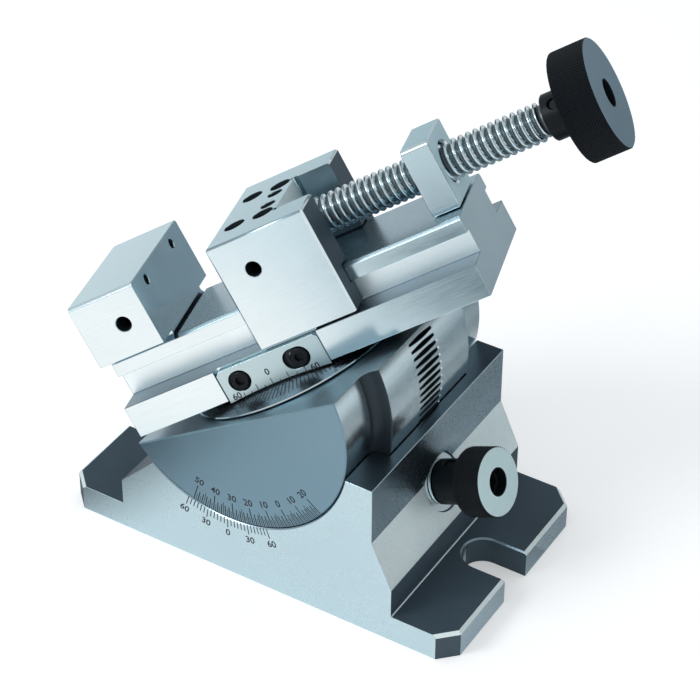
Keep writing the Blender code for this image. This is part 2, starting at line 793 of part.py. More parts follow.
def plate_with_hole(name, half_sizes, low, high, hole_radius):
    across, deep = half_sizes
    body = bpy.data.objects.new(name, box_mesh(name, (-across, -deep, low), (across, deep, high)))
    hole = rod_mesh(name + "_hole", hole_radius, low - overrun, high + overrun, "Z")
    tool = bpy.data.objects.new(name + "_hole", hole)
    for made in (body, tool):
        bpy.context.scene.collection.objects.link(made)
    combine(body, tool)
    mesh = bake(body, name)
    bpy.data.objects.remove(tool, do_unlink=True)
    return mesh


def make_worm(looks, worm_frame):
    tail_end = tail_bush_start + tail_bush_length
    stub_end = small_knob_face - small_socket_depth - seat_gap
    profile = [
        (0.0, stub_end), (worm_stub_radius, stub_end), (worm_stub_radius, small_hub_start),
        (worm_neck_radius, small_hub_start), (worm_neck_radius, sleeve_start - seat_gap),
        (worm_core_radius, sleeve_start - seat_gap), (worm_core_radius, -worm_core_end),
        (tail_radius, -worm_core_end), (tail_radius, -tail_end), (0.0, -tail_end)]
    shaft_mesh = turned_mesh("worm_shaft", profile, "X", round_sides)
    shaft = add_object("worm_shaft", shaft_mesh, worm_frame, looks["thread"])
    combine(shaft, add_object("worm_thread", worm_thread_mesh(), worm_frame), "UNION")

    bush = ring_mesh(
        "worm_tail_bush", tail_bore_radius - seat_gap, tail_radius + seat_gap,
        -tail_end, -tail_bush_start, "X")
    add_object("worm_tail_bush", bush, worm_frame, looks["bronze"])
    sleeve_end = sleeve_start + sleeve_length
    sleeve = ring_mesh(
        "worm_sleeve", flank_bore_radius - seat_gap, worm_neck_radius + seat_gap,
        sleeve_start, sleeve_end, "X", fine_sides)
    add_object("worm_sleeve", sleeve, worm_frame, looks["thread"])
    washer_low = sleeve_end + seat_gap
    washer = ring_mesh(
        "worm_thrust_washer", small_hub_radius, worm_neck_radius + seat_gap,
        washer_low, washer_low + washer_thickness, "X")
    add_object("worm_thrust_washer", washer, worm_frame, looks["thread"])

    bore = worm_stub_radius + seat_gap
    knob = make_knob(
        "worm_knob", worm_frame, looks["black"], 0.0, bore,
        small_hub_start + seat_gap, small_hub_radius, small_knob_start, small_knob_radius, small_knob_face,
        small_knob_edge, small_socket_flats, small_socket_depth, fine_sides)
    make_knob_screw(
        "worm_knob_screw", knob, worm_frame, looks["black"], 0.0,
        small_hub_start + knob_screw_place, bore, small_hub_radius, 0.0)

    x, height = sleeve_screw_place()
    top = height - seat_gap
    screw = socket_screw_mesh(
        "worm_sleeve_screw", [
            (0.0, -top + sleeve_screw_length), (sleeve_screw_radius, -top + sleeve_screw_length),
            (sleeve_screw_radius, -top), (0.0, -top)],
        sleeve_screw_radius, sleeve_screw_radius)
    screw.transform(Matrix.Translation((x, 0.0, 0.0)) @ Matrix.Rotation(math.pi, 4, "X"))
    add_object("worm_sleeve_screw", screw, None, looks["black"])


def worm_thread_mesh():
    # A single right-hand thread; at the worm's middle its crest faces the tilt axis.
    sunk = worm_core_radius - seat_gap
    work = bmesh.new()
    root = worm_root_width / 2.0
    crest = worm_crest_width / 2.0
    corners = [work.verts.new((radius, 0.0, station)) for radius, station in (
        (sunk, root), (worm_crest_radius, crest), (worm_crest_radius, -crest), (sunk, -root))]
    for index in range(len(corners)):
        work.edges.new((corners[index], corners[(index + 1) % len(corners)]))
    helper = bpy.data.objects.new("worm_thread", finish_mesh("worm_thread", work))
    bpy.context.scene.collection.objects.link(helper)
    screw = helper.modifiers.new("wind", "SCREW")
    screw.axis = "Z"
    screw.screw_offset = worm_lead
    screw.iterations = worm_turns
    screw.steps = thread_steps
    screw.render_steps = thread_steps
    screw.use_merge_vertices = False
    mesh = bake(helper, "worm_thread")
    work = bmesh.new()
    work.from_mesh(mesh)
    bmesh.ops.holes_fill(work, edges=[edge for edge in work.edges if edge.is_boundary])
    bmesh.ops.recalc_face_normals(work, faces=work.faces)
    bmesh.ops.translate(work, vec=(0.0, 0.0, -worm_lead * worm_turns / 2.0), verts=work.verts)
    bmesh.ops.transform(work, matrix=along("X"), verts=work.verts)
    work.to_mesh(mesh)
    work.free()
    return mesh


def make_knob(
        name, parent, look, height, bore, start, hub, shoulder, radius, face,
        edge, flats, depth, steps):
    # A knurled head with a hub towards the shaft, a round bore, and in its face a round mouth with a
    # hexagon socket below it.
    # Half a facet's turn sets the socket's corners and the hub's grub screw on the middle of a facet.
    pilot = flats / 2.0 - edge
    profile = [
        (pilot, face - knob_mouth_depth), (knob_mouth_radius, face - knob_mouth_depth),
        (knob_mouth_radius, face), (radius - edge, face), (radius, face - edge), (radius, shoulder + edge),
        (radius - edge, shoulder), (hub, shoulder), (hub, start), (bore, start),
        (bore, face - depth), (pilot, face - depth)]
    mesh = closed_turn_mesh(name, profile, "X", steps)
    mesh.transform(Matrix.Translation((0.0, 0.0, height)) @ Matrix.Rotation(math.pi / steps, 4, "X"))
    knob = add_object(name, mesh, parent, look)
    centre = (0.0, 0.0, height)
    low = face - depth - overrun
    socket = rod_mesh(name + "_socket", hexagon_radius(flats), low, face + overrun, "X", centre, 6)
    cut(knob, name + "_socket", socket, parent)
    return knob


def make_knob_screw(name, knob, parent, look, height, station, bore, hub, turn):
    # A grub screw through the hub's wall, square to the shaft and turned about it from upright.
    place = Matrix.Translation((station, 0.0, height)) @ Matrix.Rotation(turn, 4, "X")
    hole = rod_mesh(
        name + "_cutter", knob_screw_radius + seat_gap, 0.0, hub + overrun, "Z", sides=tiny_sides)
    hole.transform(place)
    cut(knob, name + "_cutter", hole, parent)
    grub = rod_mesh(name, knob_screw_radius, bore, hub - knob_screw_depth, "Z", sides=tiny_sides)
    grub.transform(place)
    add_object(name, grub, parent, look)


def make_body(looks, vise_frame):
    side = body_half_width
    edge = side - jaw_chamfer
    # The whole length starts with the fixed jaw's section, and one cut then clears the rail.
    foot_height = rail_top + rail_chamfer / 2.0
    foot = rail_half_width - (foot_height - rail_top + rail_chamfer)
    far_half = [
        (-overrun, flange_bottom),
        (side, flange_bottom),
        (side, flange_top),
        (neck_half_width, flange_top),
        (neck_half_width, rail_bottom),
        (rail_half_width, rail_bottom),
        (rail_half_width, rail_top - rail_chamfer),
        (foot, foot_height),
        (foot, fixed_jaw_bottom),
        (side, fixed_jaw_bottom),
        (side, jaw_top - jaw_chamfer),
        (edge, jaw_top),
        (-overrun, jaw_top),
    ]
    body_mesh = outline_mesh("vise_body", far_half, -body_left, body_right, "X")
    body = add_object("vise_body", body_mesh, vise_frame, looks["jaw"])
    mirror_halves(body)
    clearing = [
        (fixed_jaw_face, rail_top - jaw_relief_depth),
        (fixed_jaw_face + jaw_relief_width, rail_top - jaw_relief_depth),
        (fixed_jaw_face + jaw_relief_width, rail_top),
        (body_right + overrun, rail_top),
        (body_right + overrun, jaw_top + overrun),
        (fixed_jaw_face, jaw_top + overrun),
    ]
    reach = side + overrun
    cleared = outline_mesh("rail_clearing_cutter", clearing, -reach, reach, "Y")
    cut(body, "rail_clearing_cutter", cleared, vise_frame)

    for sign in (-1.0, 1.0):
        name = "fixed_stop_hole_%d" % (sign > 0)
        place = (-body_left + fixed_stop_place, 0.0, spindle_height)
        ends = sorted((sign * (side - stop_hole_depth), sign * (side + overrun)))
        cut(body, name, rod_mesh(name, stop_hole_radius, ends[0], ends[1], "Y", place), vise_frame)
        name = "jaw_face_hole_%d" % (sign > 0)
        place = (0.0, sign * face_hole_offset, jaw_top - face_hole_drop)
        low = fixed_jaw_face - face_hole_depth
        high = fixed_jaw_face + overrun
        cut(body, name, rod_mesh(name, face_hole_radius, low, high, "X", place, tiny_sides), vise_frame)
        name = "nut_screw_hole_%d" % (sign > 0)
        place = (nut_left + nut_length / 2.0, sign * nut_screw_offset, 0.0)
        bore = nut_screw_radius + seat_gap
        low = flange_bottom - overrun
        hole = rod_mesh(name, bore, low, rail_top + overrun, "Z", place, tiny_sides)
        cut(body, name, hole, vise_frame)
        name = "nut_screw_recess_%d" % (sign > 0)
        bore = nut_screw_head_radius + seat_gap
        recess = rod_mesh(name, bore, low, flange_bottom + nut_screw_recess, "Z", place)
        cut(body, name, recess, vise_frame)
    socket = rod_mesh(
        "pivot_socket_cutter", pivot_radius + seat_gap, flange_bottom - overrun,
        flange_bottom + pivot_socket_depth, "Z", sides=round_sides)
    cut(body, "pivot_socket_cutter", socket, vise_frame)
    pocket = box_mesh(
        "plate_pocket_cutter", (-plate_half_length - seat_gap, -side - overrun, flange_bottom - overrun),
        (plate_half_length + seat_gap, -side + plate_thickness + seat_gap, flange_top + overrun))
    cut(body, "plate_pocket_cutter", pocket, vise_frame)
    for index, x in enumerate(plate_screw_places()):
        name = "plate_screw_hole_%d" % index
        place = (x, 0.0, plate_screw_height)
        high = plate_screw_length - side + overrun
        hole = rod_mesh(
            name, plate_screw_radius + seat_gap, -side - overrun, high, "Y", place, tiny_sides)
        cut(body, name, hole, vise_frame)

    pivot_low = -flat_drop - pivot_depth + seat_gap
    pivot_high = flange_bottom + pivot_socket_depth - seat_gap
    pin = rod_mesh("swivel_pivot", pivot_radius, pivot_low, pivot_high, "Z", sides=round_sides)
    add_object("swivel_pivot", pin, vise_frame, looks["thread"])
    return body


def plate_screw_places():
    return [plate_screw_shift + side * plate_screw_spacing / 2.0 for side in (-1.0, 1.0)]


def make_vernier(looks, vise_frame):
    front = -body_half_width
    back = front + plate_thickness
    low = disc_bottom
    plate_mesh = box_mesh(
        "vernier_plate", (-plate_half_length, front, low),
        (plate_half_length, back, flange_top - plate_top_drop))
    plate = add_object("vernier_plate", plate_mesh, vise_frame, looks["jaw"])
    # The plate's lower edge follows the disc's cone.
    slope = (disc_top - disc_bottom - disc_rim_height) / (disc_radius - disc_seat_radius)
    far = disc_radius + overrun
    lift = seat_gap + running_gap
    drop = disc_top - slope * (far - disc_seat_radius)
    cone = [
        (0.0, disc_top + lift), (disc_seat_radius, disc_top + lift), (far, drop + lift),
        (far, drop - lift - overrun), (0.0, drop - lift - overrun)]
    cut(plate, "plate_cone_cutter", turned_mesh("plate_cone_cutter", cone, "Z", drum_steps), vise_frame)
    places = []
    top = plate_screw_head_height - plate_slot_depth
    profile = screw_profile(
        top, plate_screw_head_radius, plate_screw_head_height, plate_screw_radius,
        -plate_screw_length)
    one = socket_screw_mesh("vernier_screw", profile, plate_socket_flats, plate_socket_depth)
    levels = (
        ("plate_recess_%d", plate_slot_radius, plate_slot_depth + seat_gap),
        ("plate_slot_%d", plate_screw_radius + seat_gap, plate_thickness + overrun))
    # A screw stands at the right-hand end of its slot.
    for index, (x, travel) in enumerate(zip(plate_screw_places(), plate_slot_travels)):
        for name, radius, depth in levels:
            turn = math.pi / 2.0
            steps = tiny_sides // 2
            left = arc_points(radius, turn, 3.0 * turn, steps, (x - travel, plate_screw_height))
            right = arc_points(radius, -turn, turn, steps, (x, plate_screw_height))
            slot = outline_mesh(name % index, left + right, front - overrun, front + depth, "Y")
            cut(plate, name % index, slot, vise_frame)
        stand = Matrix.Translation((x, front, plate_screw_height))
        places.append(stand @ Matrix.Rotation(math.pi / 2.0, 4, "X"))
    add_copies("vernier_screw", one, places, vise_frame, looks["black"])


def make_jaw(looks, vise_frame):
    side = body_half_width
    edge = side - jaw_chamfer
    inner = rail_half_width + jaw_gap
    hook = neck_half_width + jaw_gap
    hook_top = rail_bottom - jaw_gap
    ceiling = rail_top + jaw_gap
    far_half = [
        (-overrun, ceiling),
        (inner, ceiling),
        (inner, hook_top),
        (hook, hook_top),
        (hook, jaw_bottom),
        (side, jaw_bottom),
        (side, jaw_top - jaw_chamfer),
        (edge, jaw_top),
        (-overrun, jaw_top),
    ]
    jaw_mesh = outline_mesh("movable_jaw", far_half, jaw_left, jaw_right, "X")
    jaw = add_object("movable_jaw", jaw_mesh, vise_frame, looks["jaw"])
    mirror_halves(jaw)
    pocket = box_mesh(
        "pocket_cutter", (jaw_left + pocket_place, -pocket_half_width, rail_top),
        (jaw_right + overrun, pocket_half_width, jaw_top + overrun))
    cut(jaw, "pocket_cutter", pocket, vise_frame)
    bore_start = spindle_tail_start - seat_gap
    bore = rod_mesh(
        "tail_bore", spindle_tail_radius + running_gap, bore_start,
        jaw_left + pocket_place + overrun, "X", (0.0, 0.0, spindle_height), round_sides)
    cut(jaw, "tail_bore", bore, vise_frame)
    for sign in (-1.0, 1.0):
        name = "movable_stop_hole_%d" % (sign > 0)
        place = (jaw_left + jaw_stop_place, 0.0, spindle_height)
        ends = sorted((sign * (side - stop_hole_depth), sign * (side + overrun)))
        cut(jaw, name, rod_mesh(name, stop_hole_radius, ends[0], ends[1], "Y", place), vise_frame)
        name = "retainer_hole_%d" % (sign > 0)
        place = (jaw_left + retainer_place, sign * retainer_offset, 0.0)
        low = retainer_bottom - seat_gap
        hole = rod_mesh(name, retainer_radius + seat_gap, low, jaw_top + overrun, "Z", place)
        cut(jaw, name, hole, vise_frame)
    pin = rod_mesh("retainer_pin", retainer_radius, retainer_bottom, retainer_top, "Z")
    places = []
    for sign in (-1.0, 1.0):
        places.append(Matrix.Translation((jaw_left + retainer_place, sign * retainer_offset, 0.0)))
    add_copies("retainer_pin", pin, places, vise_frame, looks["black"])

    places = []
    profile = screw_profile(
        jaw_screw_top, jaw_screw_head_radius, jaw_screw_head_height, jaw_screw_radius,
        jaw_screw_bottom)
    one = socket_screw_mesh("jaw_screw", profile, jaw_socket_flats, jaw_socket_depth)
    recess = jaw_screw_top - jaw_screw_head_height - seat_gap
    stations = [(s, t) for s in (jaw_screw_near, jaw_screw_far) for t in (-1.0, 1.0)]
    for index, (station, sign) in enumerate(stations):
        place = (jaw_left + station, sign * jaw_screw_offset, 0.0)
        name = "jaw_screw_recess_%d" % index
        head_bore = jaw_screw_head_radius + seat_gap
        cut(jaw, name, rod_mesh(name, head_bore, recess, jaw_top + overrun, "Z", place), vise_frame)
        name = "jaw_screw_hole_%d" % index
        shank_bore = jaw_screw_radius + seat_gap
        hole = rod_mesh(name, shank_bore, rail_top, recess + overrun, "Z", place, tiny_sides)
        cut(jaw, name, hole, vise_frame)
        places.append(Matrix.Translation(place))
    add_copies("jaw_screw", one, places, vise_frame, looks["black"])

    low = rail_top + jaw_gap
    high = low + slide_plate_thickness
    width = rail_half_width - slide_plate_inset
    left = jaw_left + slide_plate_inset
    right = jaw_left + pocket_place - slide_plate_inset
    bed = box_mesh(
        "slide_plate_bed", (left - seat_gap, -width - seat_gap, rail_top),
        (right + seat_gap, width + seat_gap, high + seat_gap))
    cut(jaw, "slide_plate_bed", bed, vise_frame)
    plate_mesh = box_mesh("slide_plate", (left, -width, low), (right, width, high))
    plate = add_object("slide_plate", plate_mesh, vise_frame, looks["bronze"])
    for index, (station, sign) in enumerate(stations):
        name = "slide_plate_hole_%d" % index
        place = (jaw_left + station, sign * jaw_screw_offset, 0.0)
        hole = rod_mesh(name, shank_bore, low - overrun, high + overrun, "Z", place, tiny_sides)
        cut(plate, name, hole, vise_frame)
    return jaw


def make_spindle(looks, vise_frame):
    neck_low = jaw_left + retainer_place - spindle_neck_length / 2.0
    neck_high = neck_low + spindle_neck_length
    stub_end = hub_start + spindle_stub_length
    profile = [
        (0.0, stub_end), (spindle_stub_radius, stub_end), (spindle_stub_radius, spindle_thread_end),
        (spindle_radius, spindle_thread_end), (spindle_radius, spindle_thread_start),
        (spindle_tail_radius, spindle_thread_start), (spindle_tail_radius, neck_high),
        (spindle_neck_radius, neck_high), (spindle_neck_radius, neck_low), (spindle_tail_radius, neck_low),
        (spindle_tail_radius, spindle_tail_start), (0.0, spindle_tail_start)]
    mesh = turned_mesh("spindle", profile, "X", fine_sides)
    mesh.transform(Matrix.Translation((0.0, 0.0, spindle_height)))
    add_object("spindle", mesh, vise_frame, looks["thread"])
    knob = make_knob(
        "spindle_knob", vise_frame, looks["black"], spindle_height, knob_bore_radius,
        hub_start, hub_radius, knob_start, knob_radius, knob_face,
        knob_edge, knob_socket_flats, knob_socket_depth, drum_steps)
    make_knob_screw(
        "spindle_knob_screw", knob, vise_frame, looks["black"], spindle_height,
        hub_start + knob_screw_place, knob_bore_radius, hub_radius, knob_screw_turn)


def make_nut_block(looks, vise_frame):
    low = rail_top + seat_gap
    edge = nut_half_width - nut_chamfer
    outline = [
        (-nut_half_width, low), (nut_half_width, low), (nut_half_width, jaw_top - nut_chamfer),
        (edge, jaw_top), (-edge, jaw_top), (-nut_half_width, jaw_top - nut_chamfer)]
    block_mesh = outline_mesh("nut_block", outline, nut_left, nut_left + nut_length, "X")
    block = add_object("nut_block", block_mesh, vise_frame, looks["jaw"])
    bore = rod_mesh(
        "nut_bore", spindle_radius + running_gap, nut_left - overrun,
        nut_left + nut_length + overrun, "X", (0.0, 0.0, spindle_height), fine_sides)
    cut(block, "nut_bore", bore, vise_frame)
    head_top = flange_bottom + nut_screw_recess - seat_gap
    profile = screw_profile(
        nut_screw_head_height - head_top, nut_screw_head_radius, nut_screw_head_height,
        nut_screw_radius, -nut_screw_top)
    one = socket_screw_mesh("nut_screw", profile, nut_socket_flats, nut_socket_depth)
    one.transform(Matrix.Rotation(math.pi, 4, "X"))
    places = []
    for index, sign in enumerate((-1.0, 1.0)):
        place = (nut_left + nut_length / 2.0, sign * nut_screw_offset, 0.0)
        name = "nut_thread_hole_%d" % index
        thread_bore = nut_screw_radius + seat_gap
        top = nut_screw_top + seat_gap
        hole = rod_mesh(name, thread_bore, rail_top - overrun, top, "Z", place, tiny_sides)
        cut(block, name, hole, vise_frame)
        places.append(Matrix.Translation(place))
    add_copies("nut_screw", one, places, vise_frame, looks["black"])


def main():
    start_clean()
    looks = make_looks()
    tilt_frame = frame("tilt_axis", (drum_axis_offset, 0.0, axis_height), (0.0, -tilt_angle, 0.0))
    vise_frame = frame("swivel_axis", (0.0, 0.0, 0.0), (0.0, 0.0, swivel_angle), tilt_frame)
    worm_frame = frame("worm_axis", (worm_x, 0.0, worm_z), (0.0, -flank_lean, 0.0))
    base = make_base(looks)
    bore_base(base, worm_frame)
    make_drum(looks, tilt_frame)
    make_disc(looks, tilt_frame)
    make_swivel_lock(looks, tilt_frame)
    make_drum_clamp(looks)
    make_worm(looks, worm_frame)
    make_body(looks, vise_frame)
    make_vernier(looks, vise_frame)
    make_jaw(looks, vise_frame)
    make_spindle(looks, vise_frame)
    make_nut_block(looks, vise_frame)
    bpy.context.view_layer.update()


main()
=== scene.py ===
# Looks of the two-axis angle vise. Pieces are made in the frame of the body that carries them and
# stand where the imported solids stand. Each but the engraved scales replaces its solid.

from math import asin, atan, cos, hypot, pi, radians, sin, tan

import bmesh
import bpy
from mathutils import Matrix, Vector


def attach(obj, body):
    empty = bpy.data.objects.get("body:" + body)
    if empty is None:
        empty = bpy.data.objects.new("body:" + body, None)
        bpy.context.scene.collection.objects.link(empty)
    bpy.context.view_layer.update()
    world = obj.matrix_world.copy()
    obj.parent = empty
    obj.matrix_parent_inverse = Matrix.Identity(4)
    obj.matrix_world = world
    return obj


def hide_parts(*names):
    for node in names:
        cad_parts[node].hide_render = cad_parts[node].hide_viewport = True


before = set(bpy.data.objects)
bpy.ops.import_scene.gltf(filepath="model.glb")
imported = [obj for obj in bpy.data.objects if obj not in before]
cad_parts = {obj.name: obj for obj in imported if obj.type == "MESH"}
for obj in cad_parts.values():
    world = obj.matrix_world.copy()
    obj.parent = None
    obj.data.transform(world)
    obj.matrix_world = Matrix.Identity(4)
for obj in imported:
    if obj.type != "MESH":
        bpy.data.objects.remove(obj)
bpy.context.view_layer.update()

MM = 0.001
UP = (0.0, 0.0, 1.0)
DOWN = (0.0, 0.0, -1.0)

# Pose in which the vise stands
tilt_angle = radians(33.0)
swivel_angle = radians(23.0)

# Clearances, edge breaks, the depth of a drill point as a share of its radius, and how finely round
# shapes are cut
seat_gap = 0.3 * MM
running_gap = 0.35 * MM
jaw_gap = 0.4 * MM
overrun = 2.0 * MM
edge_break = 0.4 * MM
fine_break = 0.2 * MM
mouth = 0.35 * MM
hair_break = 0.1 * MM
drill_point = 0.5
big_steps = 240
round_steps = 72
small_steps = 40
gash_steps = 56
slot_steps = 24
cove_steps = 8

# How far a face may lie from a level and still belong to it, as a rule and where faces crowd
near = 0.1 * MM
hair = 0.02 * MM

# Cradle block
base_length = 139.0 * MM
base_width = 78.0 * MM
flange_thickness = 9.4 * MM
flange_corner = 5.5 * MM
flange_chamfer = 1.0 * MM
slot_chamfer = 0.5 * MM
foot_seam = 0.3 * MM
drum_axis_offset = -9.0 * MM
cradle_floor = 16.5 * MM
step_reach = 39.5 * MM
step_height = 18.7 * MM
cradle_slope = radians(45.0)
cradle_wall = 3.2 * MM
wall_height = 55.4 * MM
flank_lean = radians(24.0)
foot_height = 19.9 * MM
knee_height = 35.4 * MM
slot_width = 13.5 * MM
slot_depth = 17.8 * MM

# Tilting half drum
band_radius = 47.5 * MM
band_half_width = 22.5 * MM
band_step = 5.5 * MM
cove_radius = 3.0 * MM
flat_drop = 5.2 * MM

# Worm, its teeth, shaft and knob
tooth_count = 120
tooth_sink = 2.8 * MM
worm_pitch_radius = 6.3 * MM
gash_radius = 7.4 * MM
gash_rim_width = 0.9 * MM
gash_hub_width = 2.5 * MM
worm_groove_depth = 2.3 * MM
worm_groove_half_width = 7.6 * MM
worm_groove_margin = radians(19.4)
tilt_down_travel = radians(33.0)
tilt_up_travel = radians(12.0)
first_gash_before_tip = radians(2.2)
gashes_past_worm = 10
flank_bore_radius = 9.3 * MM
flank_bore_end = 12.0 * MM
tail_bore_radius = 5.3 * MM
tail_bore_end = 20.5 * MM
worm_stub_radius = 3.4 * MM
sleeve_sink = 12.7 * MM
sleeve_length = 12.0 * MM
small_hub_radius = 7.0 * MM
hub_stand = 0.7 * MM
small_hub_length = 10.4 * MM
small_knob_radius = 10.7 * MM
small_knob_length = 9.3 * MM
small_socket_flats = 6.3 * MM
small_socket_depth = 6.0 * MM
knob_screw_radius = 1.6 * MM
knob_screw_place = 4.4 * MM
sleeve_screw_radius = 2.0 * MM

# Tee slots in the drum and the clamp that holds it down
clamp_offset = 15.0 * MM
tee_neck_half_width = 3.4 * MM
tee_head_half_width = 5.2 * MM
tee_lip = 3.8 * MM
tee_slot_depth = 8.7 * MM
tee_slot_margin = radians(10.0)
clamp_bolt_radius = 3.0 * MM
clamp_head_radius = 5.0 * MM
clamp_recess = 7.6 * MM
clamp_recess_gap = 0.5 * MM

# Graduated swivel disc
disc_radius = 36.0 * MM
disc_rim_height = 0.6 * MM
disc_lip = 0.4 * MM
disc_seat_radius = 23.6 * MM
pivot_radius = 7.0 * MM
pivot_depth = 20.0 * MM
pivot_socket_depth = 5.0 * MM
lock_depth = 13.0 * MM
lock_screw_radius = 3.0 * MM
lock_screw_length = 12.0 * MM
lock_screw_recess = 1.5 * MM
lock_socket_flats = 3.0 * MM
lock_socket_depth = 3.0 * MM

# Vise body
body_left = 49.0 * MM
body_right = 70.4 * MM
body_half_width = 25.0 * MM
flange_bottom = -1.9 * MM
flange_top = 8.4 * MM
neck_half_width = 15.1 * MM
rail_half_width = 17.8 * MM
rail_bottom = 15.9 * MM
rail_top = 21.2 * MM
rail_chamfer = 1.0 * MM
fixed_jaw_length = 22.6 * MM
fixed_jaw_bottom = 22.7 * MM
jaw_top = 43.4 * MM
jaw_chamfer = 0.8 * MM
top_chamfer = 0.6 * MM
jaw_relief_width = 1.3 * MM
jaw_relief_depth = 1.0 * MM
stop_hole_radius = 2.4 * MM
stop_hole_depth = 10.0 * MM
fixed_stop_place = 14.0 * MM
face_hole_radius = 1.6 * MM
face_hole_depth = 8.0 * MM
face_hole_offset = 13.9 * MM
face_hole_drop = 3.9 * MM

# Vernier plate
plate_half_length = 17.4 * MM
plate_thickness = 1.8 * MM
plate_top_drop = 0.6 * MM
plate_corner = 1.2 * MM
plate_screw_spacing = 20.3 * MM
plate_screw_shift = -0.85 * MM
plate_screw_height = 2.8 * MM
plate_slot_radius = 3.3 * MM
plate_slot_travels = (0.4 * MM, 2.0 * MM)
plate_slot_depth = 1.2 * MM
plate_screw_head_radius = 2.9 * MM
plate_screw_head_height = 1.8 * MM
plate_screw_radius = 1.5 * MM
plate_screw_length = 7.0 * MM
plate_socket_flats = 2.5 * MM
plate_socket_depth = 1.1 * MM
shadow_half_height = 4.0 * MM
shadow_half_length = 14.0 * MM

# Movable jaw
jaw_left = -0.7 * MM
jaw_length = 32.7 * MM
jaw_bottom = 9.2 * MM
slide_plate_thickness = 2.6 * MM
slide_plate_inset = 1.6 * MM
pocket_place = 20.7 * MM
pocket_half_width = 12.3 * MM
spindle_tail_radius = 4.6 * MM
spindle_tail_start = 10.0 * MM
jaw_screw_stations = (6.4 * MM, 16.1 * MM)
jaw_screw_offset = 11.3 * MM
jaw_screw_head_radius = 3.1 * MM
jaw_screw_top = 31.5 * MM
jaw_screw_head_height = 3.6 * MM
jaw_socket_flats = 3.0 * MM
jaw_socket_depth = 1.8 * MM
retainer_offset = 4.5 * MM
retainer_radius = 2.2 * MM
retainer_top = 41.0 * MM
retainer_bottom = 26.2 * MM
retainer_place = 16.1 * MM
jaw_stop_place = 10.7 * MM
pocket_relief_radius = 1.2 * MM

# Spindle, nut block and spindle knob
spindle_height = 32.6 * MM
spindle_radius = 5.9 * MM
thread_root_radius = 4.5 * MM
thread_pitch = 2.4 * MM
spindle_neck_radius = 1.9 * MM
spindle_neck_length = 5.0 * MM
spindle_thread_start = 22.5 * MM
spindle_thread_end = 101.7 * MM
nut_left = 60.7 * MM
nut_length = 9.0 * MM
nut_half_width = 10.2 * MM
nut_chamfer = 0.9 * MM
hub_radius = 7.1 * MM
hub_start = 102.1 * MM
hub_length = 7.5 * MM
knob_radius = 17.0 * MM
knob_length = 11.4 * MM
knob_edge = 0.3 * MM
knob_mouth_radius = 4.2 * MM
knob_mouth_depth = 3.0 * MM
knob_bore_radius = 4.5 * MM
knob_socket_flats = 6.8 * MM
knob_socket_depth = 9.0 * MM
spindle_stub_radius = 4.2 * MM
spindle_stub_length = 8.5 * MM
knurl_pitch = 1.05 * MM
knurl_depth = 0.34 * MM

# Engraved scales
inlay = 0.02 * MM
numeral_weight = 0.05 * MM
numeral_size = 3.3 * MM
odd_mark = (2.6 * MM, 0.2 * MM)
even_mark = (3.9 * MM, 0.34 * MM)
fifth_mark = 5.0 * MM
tenth_mark = 6.0 * MM
drum_mark_drop = 0.35 * MM
drum_numeral_radius = 33.7 * MM
vernier_degrees = 1.6
vernier_gap = 0.1 * MM
vernier_short = 2.6 * MM
vernier_long = 3.6 * MM
vernier_width = 0.3 * MM
vernier_numeral_radius = 48.2 * MM
disc_mark_count = 144
disc_mark_inner = 24.4 * MM
disc_mark_outer = 32.4 * MM
disc_mark_width = 0.32 * MM
plate_mark_width = 0.24 * MM
plate_numeral_size = 2.9 * MM

# Lines on the plate as (across, lower end, upper end) and its numerals, in millimetres
plate_marks = (
    (-12.0, -2.9, -1.0), (-9.6, -2.7, -1.6), (-7.3, -2.5, 0.0), (-4.8, -2.3, -1.2), (-2.2, -2.1, 0.1),
    (0.4, -2.2, -1.2), (3.3, -2.3, 0.0), (6.2, -2.5, -1.2), (9.1, -2.7, -0.3))
plate_numerals = (("0", -2.1, 2.2), ("60", 12.2, -1.8), ("60", -14.4, -1.4))

# Camera and the levels of the floor and the cards on it
camera_azimuth = radians(31.4417)
camera_height = radians(38.0351)
camera_roll = radians(0.2174)
camera_position = (0.326, -0.5163, 0.5416)
camera_lens = 132.477
floor_drop = 0.02 * MM
card_lift = 0.4 * MM

# Places that follow from the sizes above
axis_height = band_radius + cradle_floor
wall_reach = band_radius + cradle_wall
end_disc_radius = band_radius - band_step
wheel_pitch_radius = band_radius - tooth_sink
worm_groove_radius = band_radius - worm_groove_depth
tee_neck_radius = band_radius - tee_lip
tee_head_radius = band_radius - tee_slot_depth
worm_distance = wheel_pitch_radius + worm_pitch_radius
tooth_step = 2.0 * pi / tooth_count
lead_slope = wheel_pitch_radius * tooth_step / (2.0 * pi * worm_pitch_radius)
contact_angle = flank_lean - pi / 2.0 - tilt_angle
disc_bottom = seat_gap - flat_drop
disc_top = flange_bottom - seat_gap
cone_slope = (disc_top - disc_bottom - disc_rim_height) / (disc_radius - disc_seat_radius)
jaw_right = jaw_left + jaw_length
fixed_jaw_face = fixed_jaw_length - body_left
knob_start = hub_start + hub_length
knob_face = knob_start + knob_length

worm_x = drum_axis_offset + worm_distance * sin(flank_lean)
worm_z = axis_height - worm_distance * cos(flank_lean)
knee_run = drum_axis_offset + wall_reach - worm_x
flank_station = knee_run * cos(flank_lean) + (knee_height - worm_z) * sin(flank_lean)
sleeve_start = flank_station - sleeve_sink
small_hub_start = flank_station + hub_stand
small_knob_start = small_hub_start + small_hub_length
small_knob_face = small_knob_start + small_knob_length
drum_place = Matrix.Translation((drum_axis_offset, 0.0, axis_height))
tilt_place = drum_place @ Matrix.Rotation(-tilt_angle, 4, "Y")
vise_place = tilt_place @ Matrix.Rotation(swivel_angle, 4, "Z")
worm_place = Matrix.Translation((worm_x, 0.0, worm_z)) @ Matrix.Rotation(-flank_lean, 4, "Y")
spindle_place = Matrix.Translation((0.0, 0.0, spindle_height))
world_place = Matrix.Identity(4)

